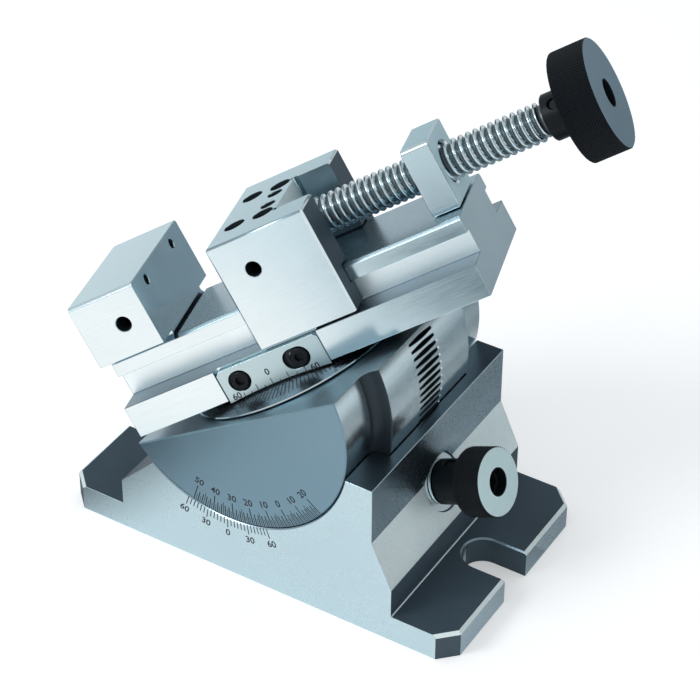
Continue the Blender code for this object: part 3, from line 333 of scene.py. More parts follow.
# The frame in which each body's pieces are made
homes = {
    "base": world_place, "drum": tilt_place, "vise": vise_place, "jaw": vise_place,
    "spindle": vise_place @ spindle_place, "worm": worm_place}


# ---- meshes

def finish_mesh(work):
    mesh = bpy.data.meshes.new("made")
    work.to_mesh(mesh)
    work.free()
    return mesh


def closed_mesh(work):
    # The finished mesh with its faces turned outwards.
    bmesh.ops.recalc_face_normals(work, faces=work.faces)
    return finish_mesh(work)


def moved(mesh, matrix):
    mesh.transform(matrix)
    return mesh


# Turns that lay a mesh made along Z along another axis
along = {
    "X": Matrix(((0, 0, 1, 0), (0, -1, 0, 0), (1, 0, 0, 0), (0, 0, 0, 1))),
    "Y": Matrix(((1, 0, 0, 0), (0, 0, 1, 0), (0, -1, 0, 0), (0, 0, 0, 1))),
    "Z": world_place}


def polar(radius, angle, level):
    return radius * cos(angle), radius * sin(angle), level


def circle(radius, level, steps):
    return [polar(radius, 2.0 * pi * index / steps, level) for index in range(steps)]


def bridge(work, lower, upper):
    # Faces between two rings of equally many points.
    for index in range(len(lower)):
        after = (index + 1) % len(lower)
        work.faces.new((lower[index], lower[after], upper[after], upper[index]))


def loft(loops):
    # A closed body through loops of equally many points, flat at both ends.
    work = bmesh.new()
    rings = [[work.verts.new(point) for point in loop] for loop in loops]
    for lower, upper in zip(rings, rings[1:]):
        bridge(work, lower, upper)
    work.faces.new(list(reversed(rings[0])))
    work.faces.new(rings[-1])
    return closed_mesh(work)


def stand(across, up, level, axis):
    return {"X": (level, across, up), "Y": (across, level, up), "Z": (across, up, level)}[axis]


def prism(points, low, high, axis="Z"):
    return loft([[stand(a, b, level, axis) for a, b in points] for level in (low, high)])


def box(low, high):
    points = [(low[0], low[1]), (high[0], low[1]), (high[0], high[1]), (low[0], high[1])]
    return prism(points, low[2], high[2])


def block_outline(half, low, top, cut):
    # A rectangle with its two upper corners cut.
    return [
        (-half, low), (half, low), (half, top - cut), (half - cut, top), (cut - half, top),
        (-half, top - cut)]


def mirrored(half):
    # An outline from the points on its far side.
    return half + [(-across, up) for across, up in reversed(half)]


def soften(mesh, width, segments=3, chosen=None):
    # Rounds, or with one segment chamfers, the sharp edges whose middle is chosen.
    work = bmesh.new()
    work.from_mesh(mesh)
    sharp = [e for e in work.edges if len(e.link_faces) == 2 and e.calc_face_angle(0.0) > radians(30.0)]
    if chosen:
        sharp = [e for e in sharp if chosen((e.verts[0].co + e.verts[1].co) / 2.0)]
    bmesh.ops.bevel(
        work, geom=sharp, offset=width, offset_type="OFFSET", segments=segments,
        profile=0.5, affect="EDGES", clamp_overlap=True)
    work.to_mesh(mesh)
    work.free()
    return mesh


def turned(profile, steps=round_steps, axis="Z", closed=False):
    # The profile lists (radius, station). Unless it is closed, its ends run in to the axis.
    if not closed:
        ends = [[(0.0, station)] if radius > 0.0 else [] for radius, station in (profile[0], profile[-1])]
        profile = ends[0] + profile + ends[1]
    work = bmesh.new()
    rings = []
    for radius, station in profile:
        points = circle(radius, station, steps) if radius > 0.0 else [(0.0, 0.0, station)]
        rings.append([work.verts.new(point) for point in points])
    pairs = list(zip(rings, rings[1:]))
    if closed:
        pairs.append((rings[-1], rings[0]))
    for first, second in pairs:
        for index in range(steps):
            after = (index + 1) % steps
            if len(first) == 1:
                work.faces.new((first[0], second[index], second[after]))
            elif len(second) == 1:
                work.faces.new((first[index], second[0], first[after]))
            else:
                work.faces.new((first[index], second[index], second[after], first[after]))
    return moved(closed_mesh(work), along[axis])


def bar(radius, high, low, steps=small_steps, axis="Z"):
    return turned([(radius, high), (radius, low)], steps, axis)


def joined(pieces):
    # Several meshes in one; each piece is (mesh, matrix).
    work = bmesh.new()
    for mesh, matrix in pieces:
        before = len(work.verts)
        work.from_mesh(mesh)
        work.verts.ensure_lookup_table()
        bmesh.ops.transform(work, matrix=matrix, verts=work.verts[before:])
    return finish_mesh(work)


def added(name, data):
    # A new object in the scene.
    made = bpy.data.objects.new(name, data)
    bpy.context.scene.collection.objects.link(made)
    return made


def baked(made):
    # The object's mesh with everything on it applied.
    bpy.context.view_layer.update()
    graph = bpy.context.evaluated_depsgraph_get()
    return bpy.data.meshes.new_from_object(made.evaluated_get(graph))


def carve(mesh, tools, operation="DIFFERENCE"):
    # The mesh after one boolean with each tool.
    body = added("body", mesh)
    helpers = [added("tool", tool) for tool in tools]
    for helper in helpers:
        modifier = body.modifiers.new("carve", "BOOLEAN")
        modifier.operation = operation
        modifier.solver = "EXACT"
        modifier.object = helper
    result = baked(body)
    for helper in [body] + helpers:
        bpy.data.objects.remove(helper, do_unlink=True)
    return result


def drill(radius, depth, place, flare=mouth, steps=small_steps, point=0.0):
    # A blind hole into the surface at z = 0 of its place, with a broken mouth; its floor may end in
    # a drill point, as deep as this share of the radius.
    profile = [
        (radius + flare, overrun), (radius + flare, 0.0), (radius, -flare), (radius, -depth),
        (0.0, -depth - radius * point)]
    return moved(turned(profile, steps), place)


def inside(holes):
    # Tells whether a face lies within one of the holes, below its mouth.
    places = [(place.inverted(), radius, depth) for radius, depth, place in holes]

    def found(at, way):
        for place, radius, depth in places:
            spot = place @ at
            if -depth - radius < spot.z < -mouth * 1.2 and hypot(spot.x, spot.y) < radius + hair:
                return True
        return False
    return found


def upward(level):
    # Faces that look up and lie at the level or above it.
    return lambda at, way: way.z > 0.99 and at.z > level - near


def endward(station):
    # Faces that look along +X and lie at the station or beyond it.
    return lambda at, way: way.x > 0.99 and at.x > station - near


def facing(direction, position):
    # A place whose Z axis points in the direction.
    turn = Vector(direction).to_track_quat("Z", "Y").to_matrix().to_4x4()
    return Matrix.Translation(position) @ turn


def arc_points(radius, start, end, steps, centre=(0.0, 0.0)):
    made = []
    for index in range(steps + 1):
        angle = start + (end - start) * index / steps
        made.append((centre[0] + radius * cos(angle), centre[1] + radius * sin(angle)))
    return made


def sector(inner, outer, start, end, low, high):
    steps = max(2, round((end - start) * big_steps / (2.0 * pi)))
    points = arc_points(outer, start, end, steps) + arc_points(inner, end, start, steps)
    return prism(points, low, high, "Y")


def hexagon(flats, low, high, flare=0.15 * MM):
    # A hexagon socket's cutter along Z, with its mouth broken at the upper level.
    radius = flats / (2.0 * cos(pi / 6.0))
    levels = ((0.0, low), (0.0, high - flare), (flare, high), (flare, high + overrun))
    return loft([circle(radius + grow, level, 6) for grow, level in levels])


def socket_screw(profile, flats, depth):
    top = profile[0][1]
    return carve(turned(profile, small_steps), [hexagon(flats, top - depth, top)])


def screw_profile(top, head_radius, head_height, radius, bottom):
    under = top - head_height
    return [
        (head_radius - edge_break, top), (head_radius, top - edge_break), (head_radius, under),
        (radius, under), (radius, bottom)]


# ---- looks

def feed(tree, made, inputs):
    # Each input of a shader node gets its value or, from another node's output, a link.
    for name, value in inputs.items():
        if isinstance(value, bpy.types.NodeSocket):
            tree.links.new(value, made.inputs[name])
        else:
            made.inputs[name].default_value = value


def add_node(tree, kind, inputs, **settings):
    made = tree.nodes.new("ShaderNode" + kind)
    for name, value in settings.items():
        setattr(made, name, value)
    feed(tree, made, inputs)
    return made


looks = {}


def metal(name, colour, roughness, turn=world_place, grain=(1.0, 1.0, 1.0), depth=0.03, uneven=0.05,
          metallic=1.0, scale=2600.0, shine=0.3):
    # Ground or turned metal: fine lines drawn out along the axes where grain is long, uneven gloss, a
    # broad cloudy change of tone and a faint grain in the surface.
    made = bpy.data.materials.new(name)
    made.use_nodes = True
    tree = made.node_tree
    where = add_node(tree, "TexCoord", {}).outputs["Object"]
    drawn = {"Vector": where, "Scale": grain, "Rotation": turn.to_euler()}
    stretch = add_node(tree, "Mapping", drawn, vector_type="TEXTURE")
    fine = {"Vector": stretch.outputs["Vector"], "Scale": scale, "Detail": 2.0}
    lines = add_node(tree, "TexNoise", fine).outputs["Fac"]
    clouds = add_node(tree, "TexNoise", {"Vector": where, "Scale": 60.0, "Detail": 4.0}).outputs["Fac"]
    both = add_node(tree, "Math", {0: lines, 1: clouds}, operation="ADD").outputs["Value"]
    spread = {"Value": both, "From Min": 0.6, "From Max": 1.4}
    tone = add_node(tree, "MapRange", spread)
    gloss = add_node(tree, "MapRange", {**spread, "To Min": roughness * 0.85, "To Max": roughness * 1.15})
    tones = {
        "Factor": tone.outputs["Result"], "A": (*[c * (1.0 - uneven) for c in colour], 1.0),
        "B": (*[min(1.0, c * (1.0 + uneven)) for c in colour], 1.0)}
    mix = add_node(tree, "Mix", tones, data_type="RGBA")
    bump = add_node(tree, "Bump", {"Strength": depth, "Distance": 0.05 * MM, "Height": lines})
    feed(tree, tree.nodes["Principled BSDF"], {
        "Metallic": metallic, "Specular IOR Level": shine, "Base Color": mix.outputs["Result"],
        "Roughness": gloss.outputs["Result"], "Normal": bump.outputs["Normal"]})
    looks[name] = made


metal("ground", (0.50, 0.63, 0.68), 0.26, grain=(1.0, 1.0, 3.0), depth=0.004, uneven=0.02)
# Darker copy of the ground steel for faces that would catch too much light: painted shade.
metal("wall", (0.27, 0.37, 0.43), 0.28, depth=0.002, uneven=0.01)
# Dark copy of the steel: painted shade on the cradle's upward faces.
metal("painted_shade_dim", (0.10, 0.145, 0.18), 0.35, depth=0.01, uneven=0.04)
# Dark copy of the steel: painted shade on the slots' chamfers and on the vise flange's top.
metal("painted_shade_slate", (0.17, 0.23, 0.28), 0.30, depth=0.01, uneven=0.04)
metal("dull", (0.50, 0.68, 0.74), 0.50, uneven=0.04, metallic=0.0)
metal("milled", (0.80, 0.95, 0.98), 0.42, depth=0.5, uneven=0.12, metallic=0.5, scale=1700.0)
metal("shade", (0.055, 0.085, 0.11), 0.50, depth=0.1, uneven=0.12, metallic=0.4)
# A darker steel for the drum's end faces than for its band.
metal("darker_face", (0.18, 0.285, 0.35), 0.40, uneven=0.04)
# Darker copy of the steel: painted shade on the drum's flat under the vise and in the jaw's pocket.
metal("flat", (0.26, 0.36, 0.42), 0.35)
metal("band", (0.60, 0.72, 0.76), 0.20, grain=(30.0, 1.0, 30.0), depth=0.01, uneven=0.02)
metal("jaw", (0.50, 0.63, 0.68), 0.17, vise_place, (20.0, 1.0, 1.0), 0.02)
# Darker copy of the jaw steel with its grain across: partly painted shade on the tops.
metal("top", (0.38, 0.53, 0.58), 0.20, vise_place, (1.0, 20.0, 1.0), 0.02)
metal("end", (0.55, 0.66, 0.70), 0.40, vise_place)
# Dark copy of the steel: painted shade on the disc under the vise.
metal("disc", (0.13, 0.165, 0.20), 0.28, depth=0.01, uneven=0.02)
metal("black", (0.005, 0.008, 0.011), 0.42, uneven=0.2, metallic=0.0, shine=0.15)
metal("black_face", (0.17, 0.26, 0.32), 0.42, uneven=0.1)
metal("bare_face", (0.75, 0.96, 1.0), 0.38, worm_place)
# Lighter copy of the steel: painted light and highlights on chamfers, the vise's neck and the worm
# sleeve.
metal("bright", (0.80, 0.93, 0.97), 0.40)
metal("plate", (0.38, 0.52, 0.56), 0.30, vise_place, (20.0, 1.0, 1.0))
# Near-black steel: painted shade inside holes, slots, coves and grooves.
metal("bore", (0.030, 0.042, 0.052), 0.45, uneven=0.15, metallic=0.6)
# Dark steel: painted shade in the spindle thread's roots.
metal("valley", (0.11, 0.14, 0.155), 0.40, uneven=0.1, metallic=0.6)
# Near-black steel: painted shade in the drum's gashes.
metal("root", (0.012, 0.018, 0.024), 0.45, uneven=0.2, metallic=0.3)
metal("thread", (0.58, 0.69, 0.73), 0.15)
metal("bronze", (0.50, 0.39, 0.24), 0.35)
metal("brass", (0.72, 0.56, 0.28), 0.3)
metal("ink", (0.012, 0.016, 0.02), 0.6, uneven=0.1, metallic=0.0)


def piece(name, mesh, body, look, solid=None, sharp=38.0, others=(), place=world_place):
    # The mesh at its place in the frame of its body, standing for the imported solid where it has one.
    # The others are further looks, each for the faces it chooses by where they are at and which way
    # they look.
    made = added(name, mesh)
    mesh.materials.clear()
    mesh.materials.append(looks[look])
    for index, (other, chosen) in enumerate(others, 1):
        mesh.materials.append(looks[other])
        for face in mesh.polygons:
            if chosen(face.center, face.normal):
                face.material_index = index
    mesh.transform(homes[body] @ place)
    mesh.shade_smooth()
    mesh.set_sharp_from_angle(angle=radians(sharp))
    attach(made, body)
    if solid:
        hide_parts(solid)
    weighted = made.modifiers.new("even_normals", "WEIGHTED_NORMAL")
    weighted.keep_sharp = True


def copies(name, solid, mesh, body, places):
    # A black piece at each place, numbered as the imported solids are.
    for number, place in enumerate(places, 1):
        names = ("%s_%d" % (name, number), "%s_%d" % (solid, number))
        piece(names[0], mesh.copy(), body, "black", names[1], place=place)


# ---- cradle block

def drum_profile(gap):
    # Radius and depth from the back face to the front one; a gap makes it larger all round.
    half = base_width / 2.0
    edge = band_half_width + gap
    cove = cove_radius - gap
    if gap:
        reach = end_disc_radius + gap
        far = [(reach + mouth, half + overrun), (reach + mouth, half), (reach, half - mouth)]
    else:
        far = [(end_disc_radius - mouth, half), (end_disc_radius, half - mouth)]
    for index in range(cove_steps + 1):
        angle = pi / 2.0 * index / cove_steps
        reach = end_disc_radius + cove_radius - cove * cos(angle)
        far.append((reach, edge + cove_radius - gap - cove * sin(angle)))
    far += [(band_radius + gap - mouth, edge), (band_radius + gap, edge - mouth)]
    return far + [(radius, -depth) for radius, depth in reversed(far)]


def flange_outline():
    half = base_width / 2.0
    end = base_length / 2.0
    inner = end - slot_depth + slot_width / 2.0
    right = arc_points(slot_width / 2.0, -pi / 2.0, -pi * 1.5, slot_steps, (inner, 0.0))
    side = [(end - flange_corner, -half), (end, -half + flange_corner), (end, -slot_width / 2.0)] + right
    side += [(end, slot_width / 2.0), (end, half - flange_corner), (end - flange_corner, half)]
    return side + [(-x, -y) for x, y in side]


def base_block():
    # The clamping flange and the cradle in one, with a small fillet where the foot meets the flange.
    half = base_width / 2.0
    step = drum_axis_offset - step_reach
    wall = drum_axis_offset + wall_reach
    foot = wall + (knee_height - foot_height) * tan(flank_lean)
    slope_run = (wall_height - step_height) / tan(cradle_slope)
    outline = [
        (step, 0.0), (foot, 0.0), (foot, foot_height), (wall, knee_height), (wall, wall_height),
        (step + slope_run, wall_height), (step, step_height)]
    rim = slot_width / 2.0 + fine_break
    top = flange_thickness - fine_break
    plate = prism(flange_outline(), 0.0, flange_thickness)
    plate = soften(plate, flange_chamfer, 1, lambda middle: (
        middle.z > top and rim < abs(middle.y) < half - fine_break))
    plate = soften(plate, slot_chamfer, 1, lambda middle: middle.z > top and abs(middle.y) < rim)
    plate = soften(plate, fine_break, 2, lambda middle: abs(middle.y) > half - fine_break)
    seam = foot_seam
    level = flange_thickness
    corner = [
        (foot - seam, level - seam), (foot + seam, level - seam), (foot + seam, level),
        (foot, level + seam), (foot - seam, level + seam)]
    fillet = prism(corner, -half + fine_break, half - fine_break, "Y")
    block = soften(prism(outline, -half, half, "Y"), fine_break)
    return carve(block, [plate, fillet], "UNION")


def make_base():
    half = base_width / 2.0
    tools = [
        moved(turned(drum_profile(running_gap), big_steps, "Y"), drum_place),
        moved(bar(flank_bore_radius, worm_distance, -flank_bore_end, round_steps, "X"), worm_place),
        moved(bar(tail_bore_radius, 0.0, -tail_bore_end, small_steps, "X"), worm_place)]
    for side in (-1.0, 1.0):
        below = facing(DOWN, (drum_axis_offset, side * clamp_offset, 0.0))
        tools.append(drill(clamp_head_radius + clamp_recess_gap, clamp_recess, below))
        tools.append(drill(clamp_bolt_radius + seat_gap, axis_height - tee_head_radius, below))
    station = sleeve_start + sleeve_length / 2.0
    x = worm_x + station * cos(flank_lean)
    z = worm_z + station * sin(flank_lean)
    tools.append(drill(sleeve_screw_radius + seat_gap, z, facing(DOWN, (x, 0.0, 0.0))))

    # The flange's top, ends and rims lie below low, the cradle above it.
    low = flange_thickness + hair
    slot_edge = slot_width / 2.0 + hair
    slot_reach = slot_width / 2.0 + slot_chamfer
    lean = Vector((cos(flank_lean), 0.0, sin(flank_lean)))
    slope = Vector((-sin(cradle_slope), 0.0, cos(cradle_slope)))
    others = (
        ("milled", lambda at, way: way.dot(lean) > 0.999),
        ("shade", lambda at, way: at.z < low and (way.z > 0.99 or (
            abs(way.z) < 0.1 and (abs(at.y) < slot_edge or 0.3 < abs(way.x) < 0.9)))),
        ("shade", lambda at, way: way.x > 0.99 and low < at.z < foot_height),
        # Painted shade: the cradle's upward faces take a dark copy of the steel.
        ("painted_shade_dim", lambda at, way: at.z > low and way.z > 0.99),
        # Painted shade: the upright faces that look along +X, above the knee and at the flange's ends,
        # and the chamfers along the top take the darker wall steel.
        ("wall", lambda at, way: (way.x > 0.99 and not low <= at.z <= knee_height) or (
            at.z > knee_height and way.z > 0.2 and 0.2 < abs(way.y) < 0.9)),
        # Painted highlight: the flange's end chamfers take a lighter copy of the steel.
        ("bright", lambda at, way: (
            at.z < low and 0.3 < way.z < 0.9 and slot_reach < abs(at.y) < half - fine_break)),
        # Painted shade: the chamfers round the slots take a dark copy of the steel.
        ("painted_shade_slate", lambda at, way: (
            at.z < low and 0.3 < way.z < 0.9 and abs(at.y) < slot_reach)),
        ("shade", lambda at, way: at.z > low and way.dot(slope) > 0.999),
        # Painted shade: the chamfer round the cradle's mouth takes the darker wall steel.
        ("wall", lambda at, way: (
            0.2 < abs(way.y) < 0.95 and abs(at.y) > half - 2.0 * mouth
            and abs(hypot(at.x - drum_axis_offset, at.z - axis_height) - end_disc_radius) < MM)))
    piece("cradle_block", carve(base_block(), tools), "base", "ground", "base_block", 25.0, others)


# ---- drum and disc

def gash_cutters():
    rim = gash_rim_width / 2.0
    hub = gash_hub_width / 2.0
    wheel = turned([(0.0, hub), (gash_radius, rim), (gash_radius, -rim), (0.0, -hub)], gash_steps)
    tip = -asin(flat_drop / band_radius)
    first = contact_angle - gashes_past_worm * tooth_step
    count = int((tip - first_gash_before_tip - first) / tooth_step) + 1
    pieces = []
    for index in range(count):
        angle = first + index * tooth_step
        outward = Vector((cos(angle), 0.0, sin(angle)))
        around = Vector((-sin(angle), 0.0, cos(angle)))
        normal = (around + lead_slope * Vector((0.0, 1.0, 0.0))).normalized()
        turn = Matrix((outward, normal.cross(outward), normal)).transposed().to_4x4()
        pieces.append((wheel, Matrix.Translation(outward * worm_distance) @ turn))
    return joined(pieces)


def make_drum():
    half = base_width / 2.0
    reach = band_radius + overrun
    tools = [box((-reach, -half - overrun, -flat_drop), (reach, half + overrun, reach))]
    for side in (-1.0, 1.0):
        points = [
            (side * (half + overrun), -flat_drop - overrun - edge_break),
            (side * (half + overrun), -flat_drop + overrun),
            (side * (half - edge_break - overrun), -flat_drop + overrun)]
        tools.append(prism(points, -reach, reach, "X"))
    lowest = contact_angle - tilt_up_travel - worm_groove_margin
    highest = contact_angle + tilt_down_travel + worm_groove_margin
    width = worm_groove_half_width
    tools.append(sector(worm_groove_radius, reach, lowest, highest, -width, width))
    rest = -pi / 2.0 - tilt_angle
    low = rest - tilt_up_travel - tee_slot_margin
    high = rest + tilt_down_travel + tee_slot_margin
    for side in (-1.0, 1.0):
        middle = side * clamp_offset
        for inner, outer, width in (
                (tee_head_radius + seat_gap, reach, tee_neck_half_width),
                (tee_head_radius, tee_neck_radius, tee_head_half_width)):
            tools.append(sector(inner, outer, low, high, middle - width, middle + width))
    tools.append(gash_cutters())
    top = facing(UP, (0.0, 0.0, -flat_drop))
    tools.append(drill(pivot_radius + running_gap, pivot_depth, top, steps=round_steps))
    back = facing((0.0, 1.0, 0.0), (0.0, half, -flat_drop - lock_depth))
    tools.append(drill(lock_screw_radius + seat_gap, half, back))
    others = (
        # The drum's end faces take a darker steel than its band.
        ("darker_face", lambda at, way: abs(at.y) > half - near or (
            abs(at.y) > half - 2.0 * mouth and abs(way.y) > 0.3)),
        # Painted shade: the flat under the vise takes a darker copy of the steel.
        ("flat", lambda at, way: way.z > 0.99 and at.z > -flat_drop - edge_break),
        # Painted shade: the gashes between the teeth take a near-black steel.
        ("root", lambda at, way: (
            tee_head_radius + MM < hypot(at.x, at.z) < band_radius - fine_break
            and abs(at.y) < gash_radius and abs(way.y) < 0.95 and way.z < 0.99)),
        # Painted shade: the coves and shoulders beside the band take the dark bore steel.
        ("bore", lambda at, way: (
            abs(way.y) > 0.08 and band_half_width - MM < abs(at.y) < half - 2.0 * MM)))
    mesh = carve(turned(drum_profile(0.0), big_steps, "Y"), tools)
    piece("half_drum", mesh, "drum", "band", "tilt_drum", 25.0, others)

    outer = half - lock_screw_recess
    profile = screw_profile(
        outer, lock_screw_radius, lock_screw_length / 2.0, lock_screw_radius, outer - lock_screw_length)
    screw = socket_screw(profile, lock_socket_flats, lock_socket_depth)
    screw.transform(Matrix.Translation((0.0, 0.0, -flat_drop - lock_depth)) @ along["Y"])
    piece("swivel_lock", screw, "drum", "black", "swivel_lock_screw")


def cone_height(radius):
    return disc_top - cone_slope * (radius - disc_seat_radius)


def make_disc():
    bore = pivot_radius + running_gap
    inner = disc_radius - disc_lip
    profile = [
        (bore, disc_top), (disc_seat_radius, disc_top), (inner, cone_height(inner)),
        (disc_radius, disc_bottom + disc_rim_height - disc_lip / 2.0),
        (disc_radius, disc_bottom + disc_lip), (inner, disc_bottom), (bore, disc_bottom)]
    # Painted shade and highlight: the disc under the vise takes a dark copy of the steel, and its rim the
    # bright thread steel as a painted highlight.
    rim = ("thread", lambda at, way: hypot(at.x, at.y) > inner)
    disc = turned(profile, big_steps, "Z", True)
    piece("graduated_disc", disc, "drum", "disc", "swivel_disc", 20.0, (rim,))


# ---- vise body and plate

def make_body():
    side = body_half_width
    foot_level = rail_top + rail_chamfer / 2.0
    foot = rail_half_width - (foot_level - rail_top + rail_chamfer)
    outline = mirrored([
        (side, flange_bottom), (side, flange_top), (neck_half_width, flange_top),
        (neck_half_width, rail_bottom), (rail_half_width, rail_bottom),
        (rail_half_width, rail_top - rail_chamfer), (foot, foot_level), (foot, fixed_jaw_bottom),
        (side, fixed_jaw_bottom), (side, jaw_top - jaw_chamfer), (side - jaw_chamfer, jaw_top)])
    relief = fixed_jaw_face + jaw_relief_width
    relief_bottom = rail_top - jaw_relief_depth
    clearing = [
        (fixed_jaw_face, relief_bottom), (relief, relief_bottom), (relief, rail_top),
        (body_right + overrun, rail_top), (body_right + overrun, jaw_top + overrun),
        (fixed_jaw_face, jaw_top + overrun)]
    reach = side + overrun
    mesh = carve(prism(outline, -body_left, body_right, "X"), [prism(clearing, -reach, reach, "Y")])
    mesh = soften(mesh, fine_break, 2)
    holes = []
    for sign in (-1.0, 1.0):
        place = (fixed_stop_place - body_left, sign * side, spindle_height)
        holes.append((stop_hole_radius, stop_hole_depth, facing((0.0, sign, 0.0), place)))
        place = (fixed_jaw_face, sign * face_hole_offset, jaw_top - face_hole_drop)
        holes.append((face_hole_radius, face_hole_depth, facing((1.0, 0.0, 0.0), place)))
    tools = [drill(*hole, flare=fine_break, point=drill_point) for hole in holes]
    below = facing(DOWN, (0.0, 0.0, flange_bottom))
    tools.append(drill(pivot_radius + seat_gap, pivot_socket_depth, below, steps=round_steps))
    tools.append(box(
        (-plate_half_length - seat_gap, -side - overrun, flange_bottom - overrun),
        (plate_half_length + seat_gap, -side + plate_thickness + seat_gap, flange_top + overrun)))
    for x in plate_screw_places():
        place = facing((0.0, -1.0, 0.0), (x, plate_thickness + seat_gap - side, plate_screw_height))
        tools.append(drill(plate_screw_radius + seat_gap, plate_screw_length, place, point=drill_point))
    others = (
        # Painted shade: the insides of the holes take the dark bore steel.
        ("bore", inside(holes)),
        ("end", endward(body_right)),
        # Painted shade: the chamfer along the rail's top takes the darker wall steel.
        ("wall", lambda at, way: (
            way.z > 0.3 and rail_top - rail_chamfer < at.z < rail_top + near)),
        # Painted shade: the flange's top and its chamfers take a dark copy of the steel.
        ("painted_shade_slate", lambda at, way: way.z > 0.3 and abs(at.z - flange_top) < 0.3 * MM),
        # Partly painted shade: the top takes the darker top steel.
        ("top", upward(jaw_top)),
        # Painted light: the neck's sides below the rail take a lighter copy of the steel.
        ("bright", lambda at, way: (
            abs(way.y) > 0.99 and flange_top < at.z < rail_bottom
            and abs(at.y) < neck_half_width + near)),
        # Painted shade: the relief groove at the fixed jaw's foot takes the dark bore steel.
        ("bore", lambda at, way: (
            fixed_jaw_face - near < at.x < relief + near
            and relief_bottom - near < at.z < rail_top - near
            and (way.z > 0.9 or abs(way.x) > 0.9))))
    piece("vise_slide", carve(mesh, tools), "vise", "jaw", "vise_body", others=others)


def on_plate(x, z):
    return Matrix.Translation((x, -body_half_width, z)) @ Matrix.Rotation(pi / 2.0, 4, "X")


def plate_screw_places():
    return [plate_screw_shift + side * plate_screw_spacing / 2.0 for side in (-1.0, 1.0)]


def obround(radius, end_x, centre_z, travel):
    left = arc_points(radius, pi / 2.0, pi * 1.5, slot_steps, (end_x - travel, centre_z))
    right = arc_points(radius, -pi / 2.0, pi / 2.0, slot_steps, (end_x, centre_z))
    return left + right


def make_plate():
    front = -body_half_width
    back = front + plate_thickness
    outline = block_outline(plate_half_length, disc_bottom, flange_top - plate_top_drop, plate_corner)
    mesh = soften(prism(outline, front, back, "Y"), fine_break)
    far = disc_radius + overrun
    lift = seat_gap + running_gap
    cone = [
        (disc_seat_radius, disc_top + lift), (far, cone_height(far) + lift),
        (far, cone_height(far) - lift - overrun)]
    tools = [turned(cone, big_steps)]
    profile = screw_profile(
        plate_screw_head_height - plate_slot_depth, plate_screw_head_radius, plate_screw_head_height,
        plate_screw_radius, -plate_screw_length)
    screw = socket_screw(profile, plate_socket_flats, plate_socket_depth)
    lip = fine_break / 2.0
    screws = []
    # A screw stands at the right-hand end of its slot.
    for x, travel in zip(plate_screw_places(), plate_slot_travels):
        loops = []
        for grow, depth in ((lip, -overrun), (lip, 0.0), (0.0, lip), (0.0, plate_slot_depth + seat_gap)):
            points = obround(plate_slot_radius + grow, x, plate_screw_height, travel)
            loops.append([(a, front + depth, b) for a, b in points])
        tools.append(loft(loops))
        through = obround(plate_screw_radius + seat_gap, x, plate_screw_height, travel)
        tools.append(prism(through, front - overrun, back + overrun, "Y"))
        screws.append(on_plate(x, plate_screw_height))
    # Painted shade: the walls and floors of the screw slots take the dark bore steel.
    sunk = ("bore", lambda at, way: (
        front + fine_break < at.y < back - near
        and abs(at.z - plate_screw_height) < shadow_half_height and abs(at.x) < shadow_half_length))
    piece("index_plate", carve(mesh, tools), "vise", "plate", "vernier_plate", others=(sunk,))
    copies("index_plate_screw", "vernier_screw", screw, "vise", screws)


# ---- movable jaw and nut block

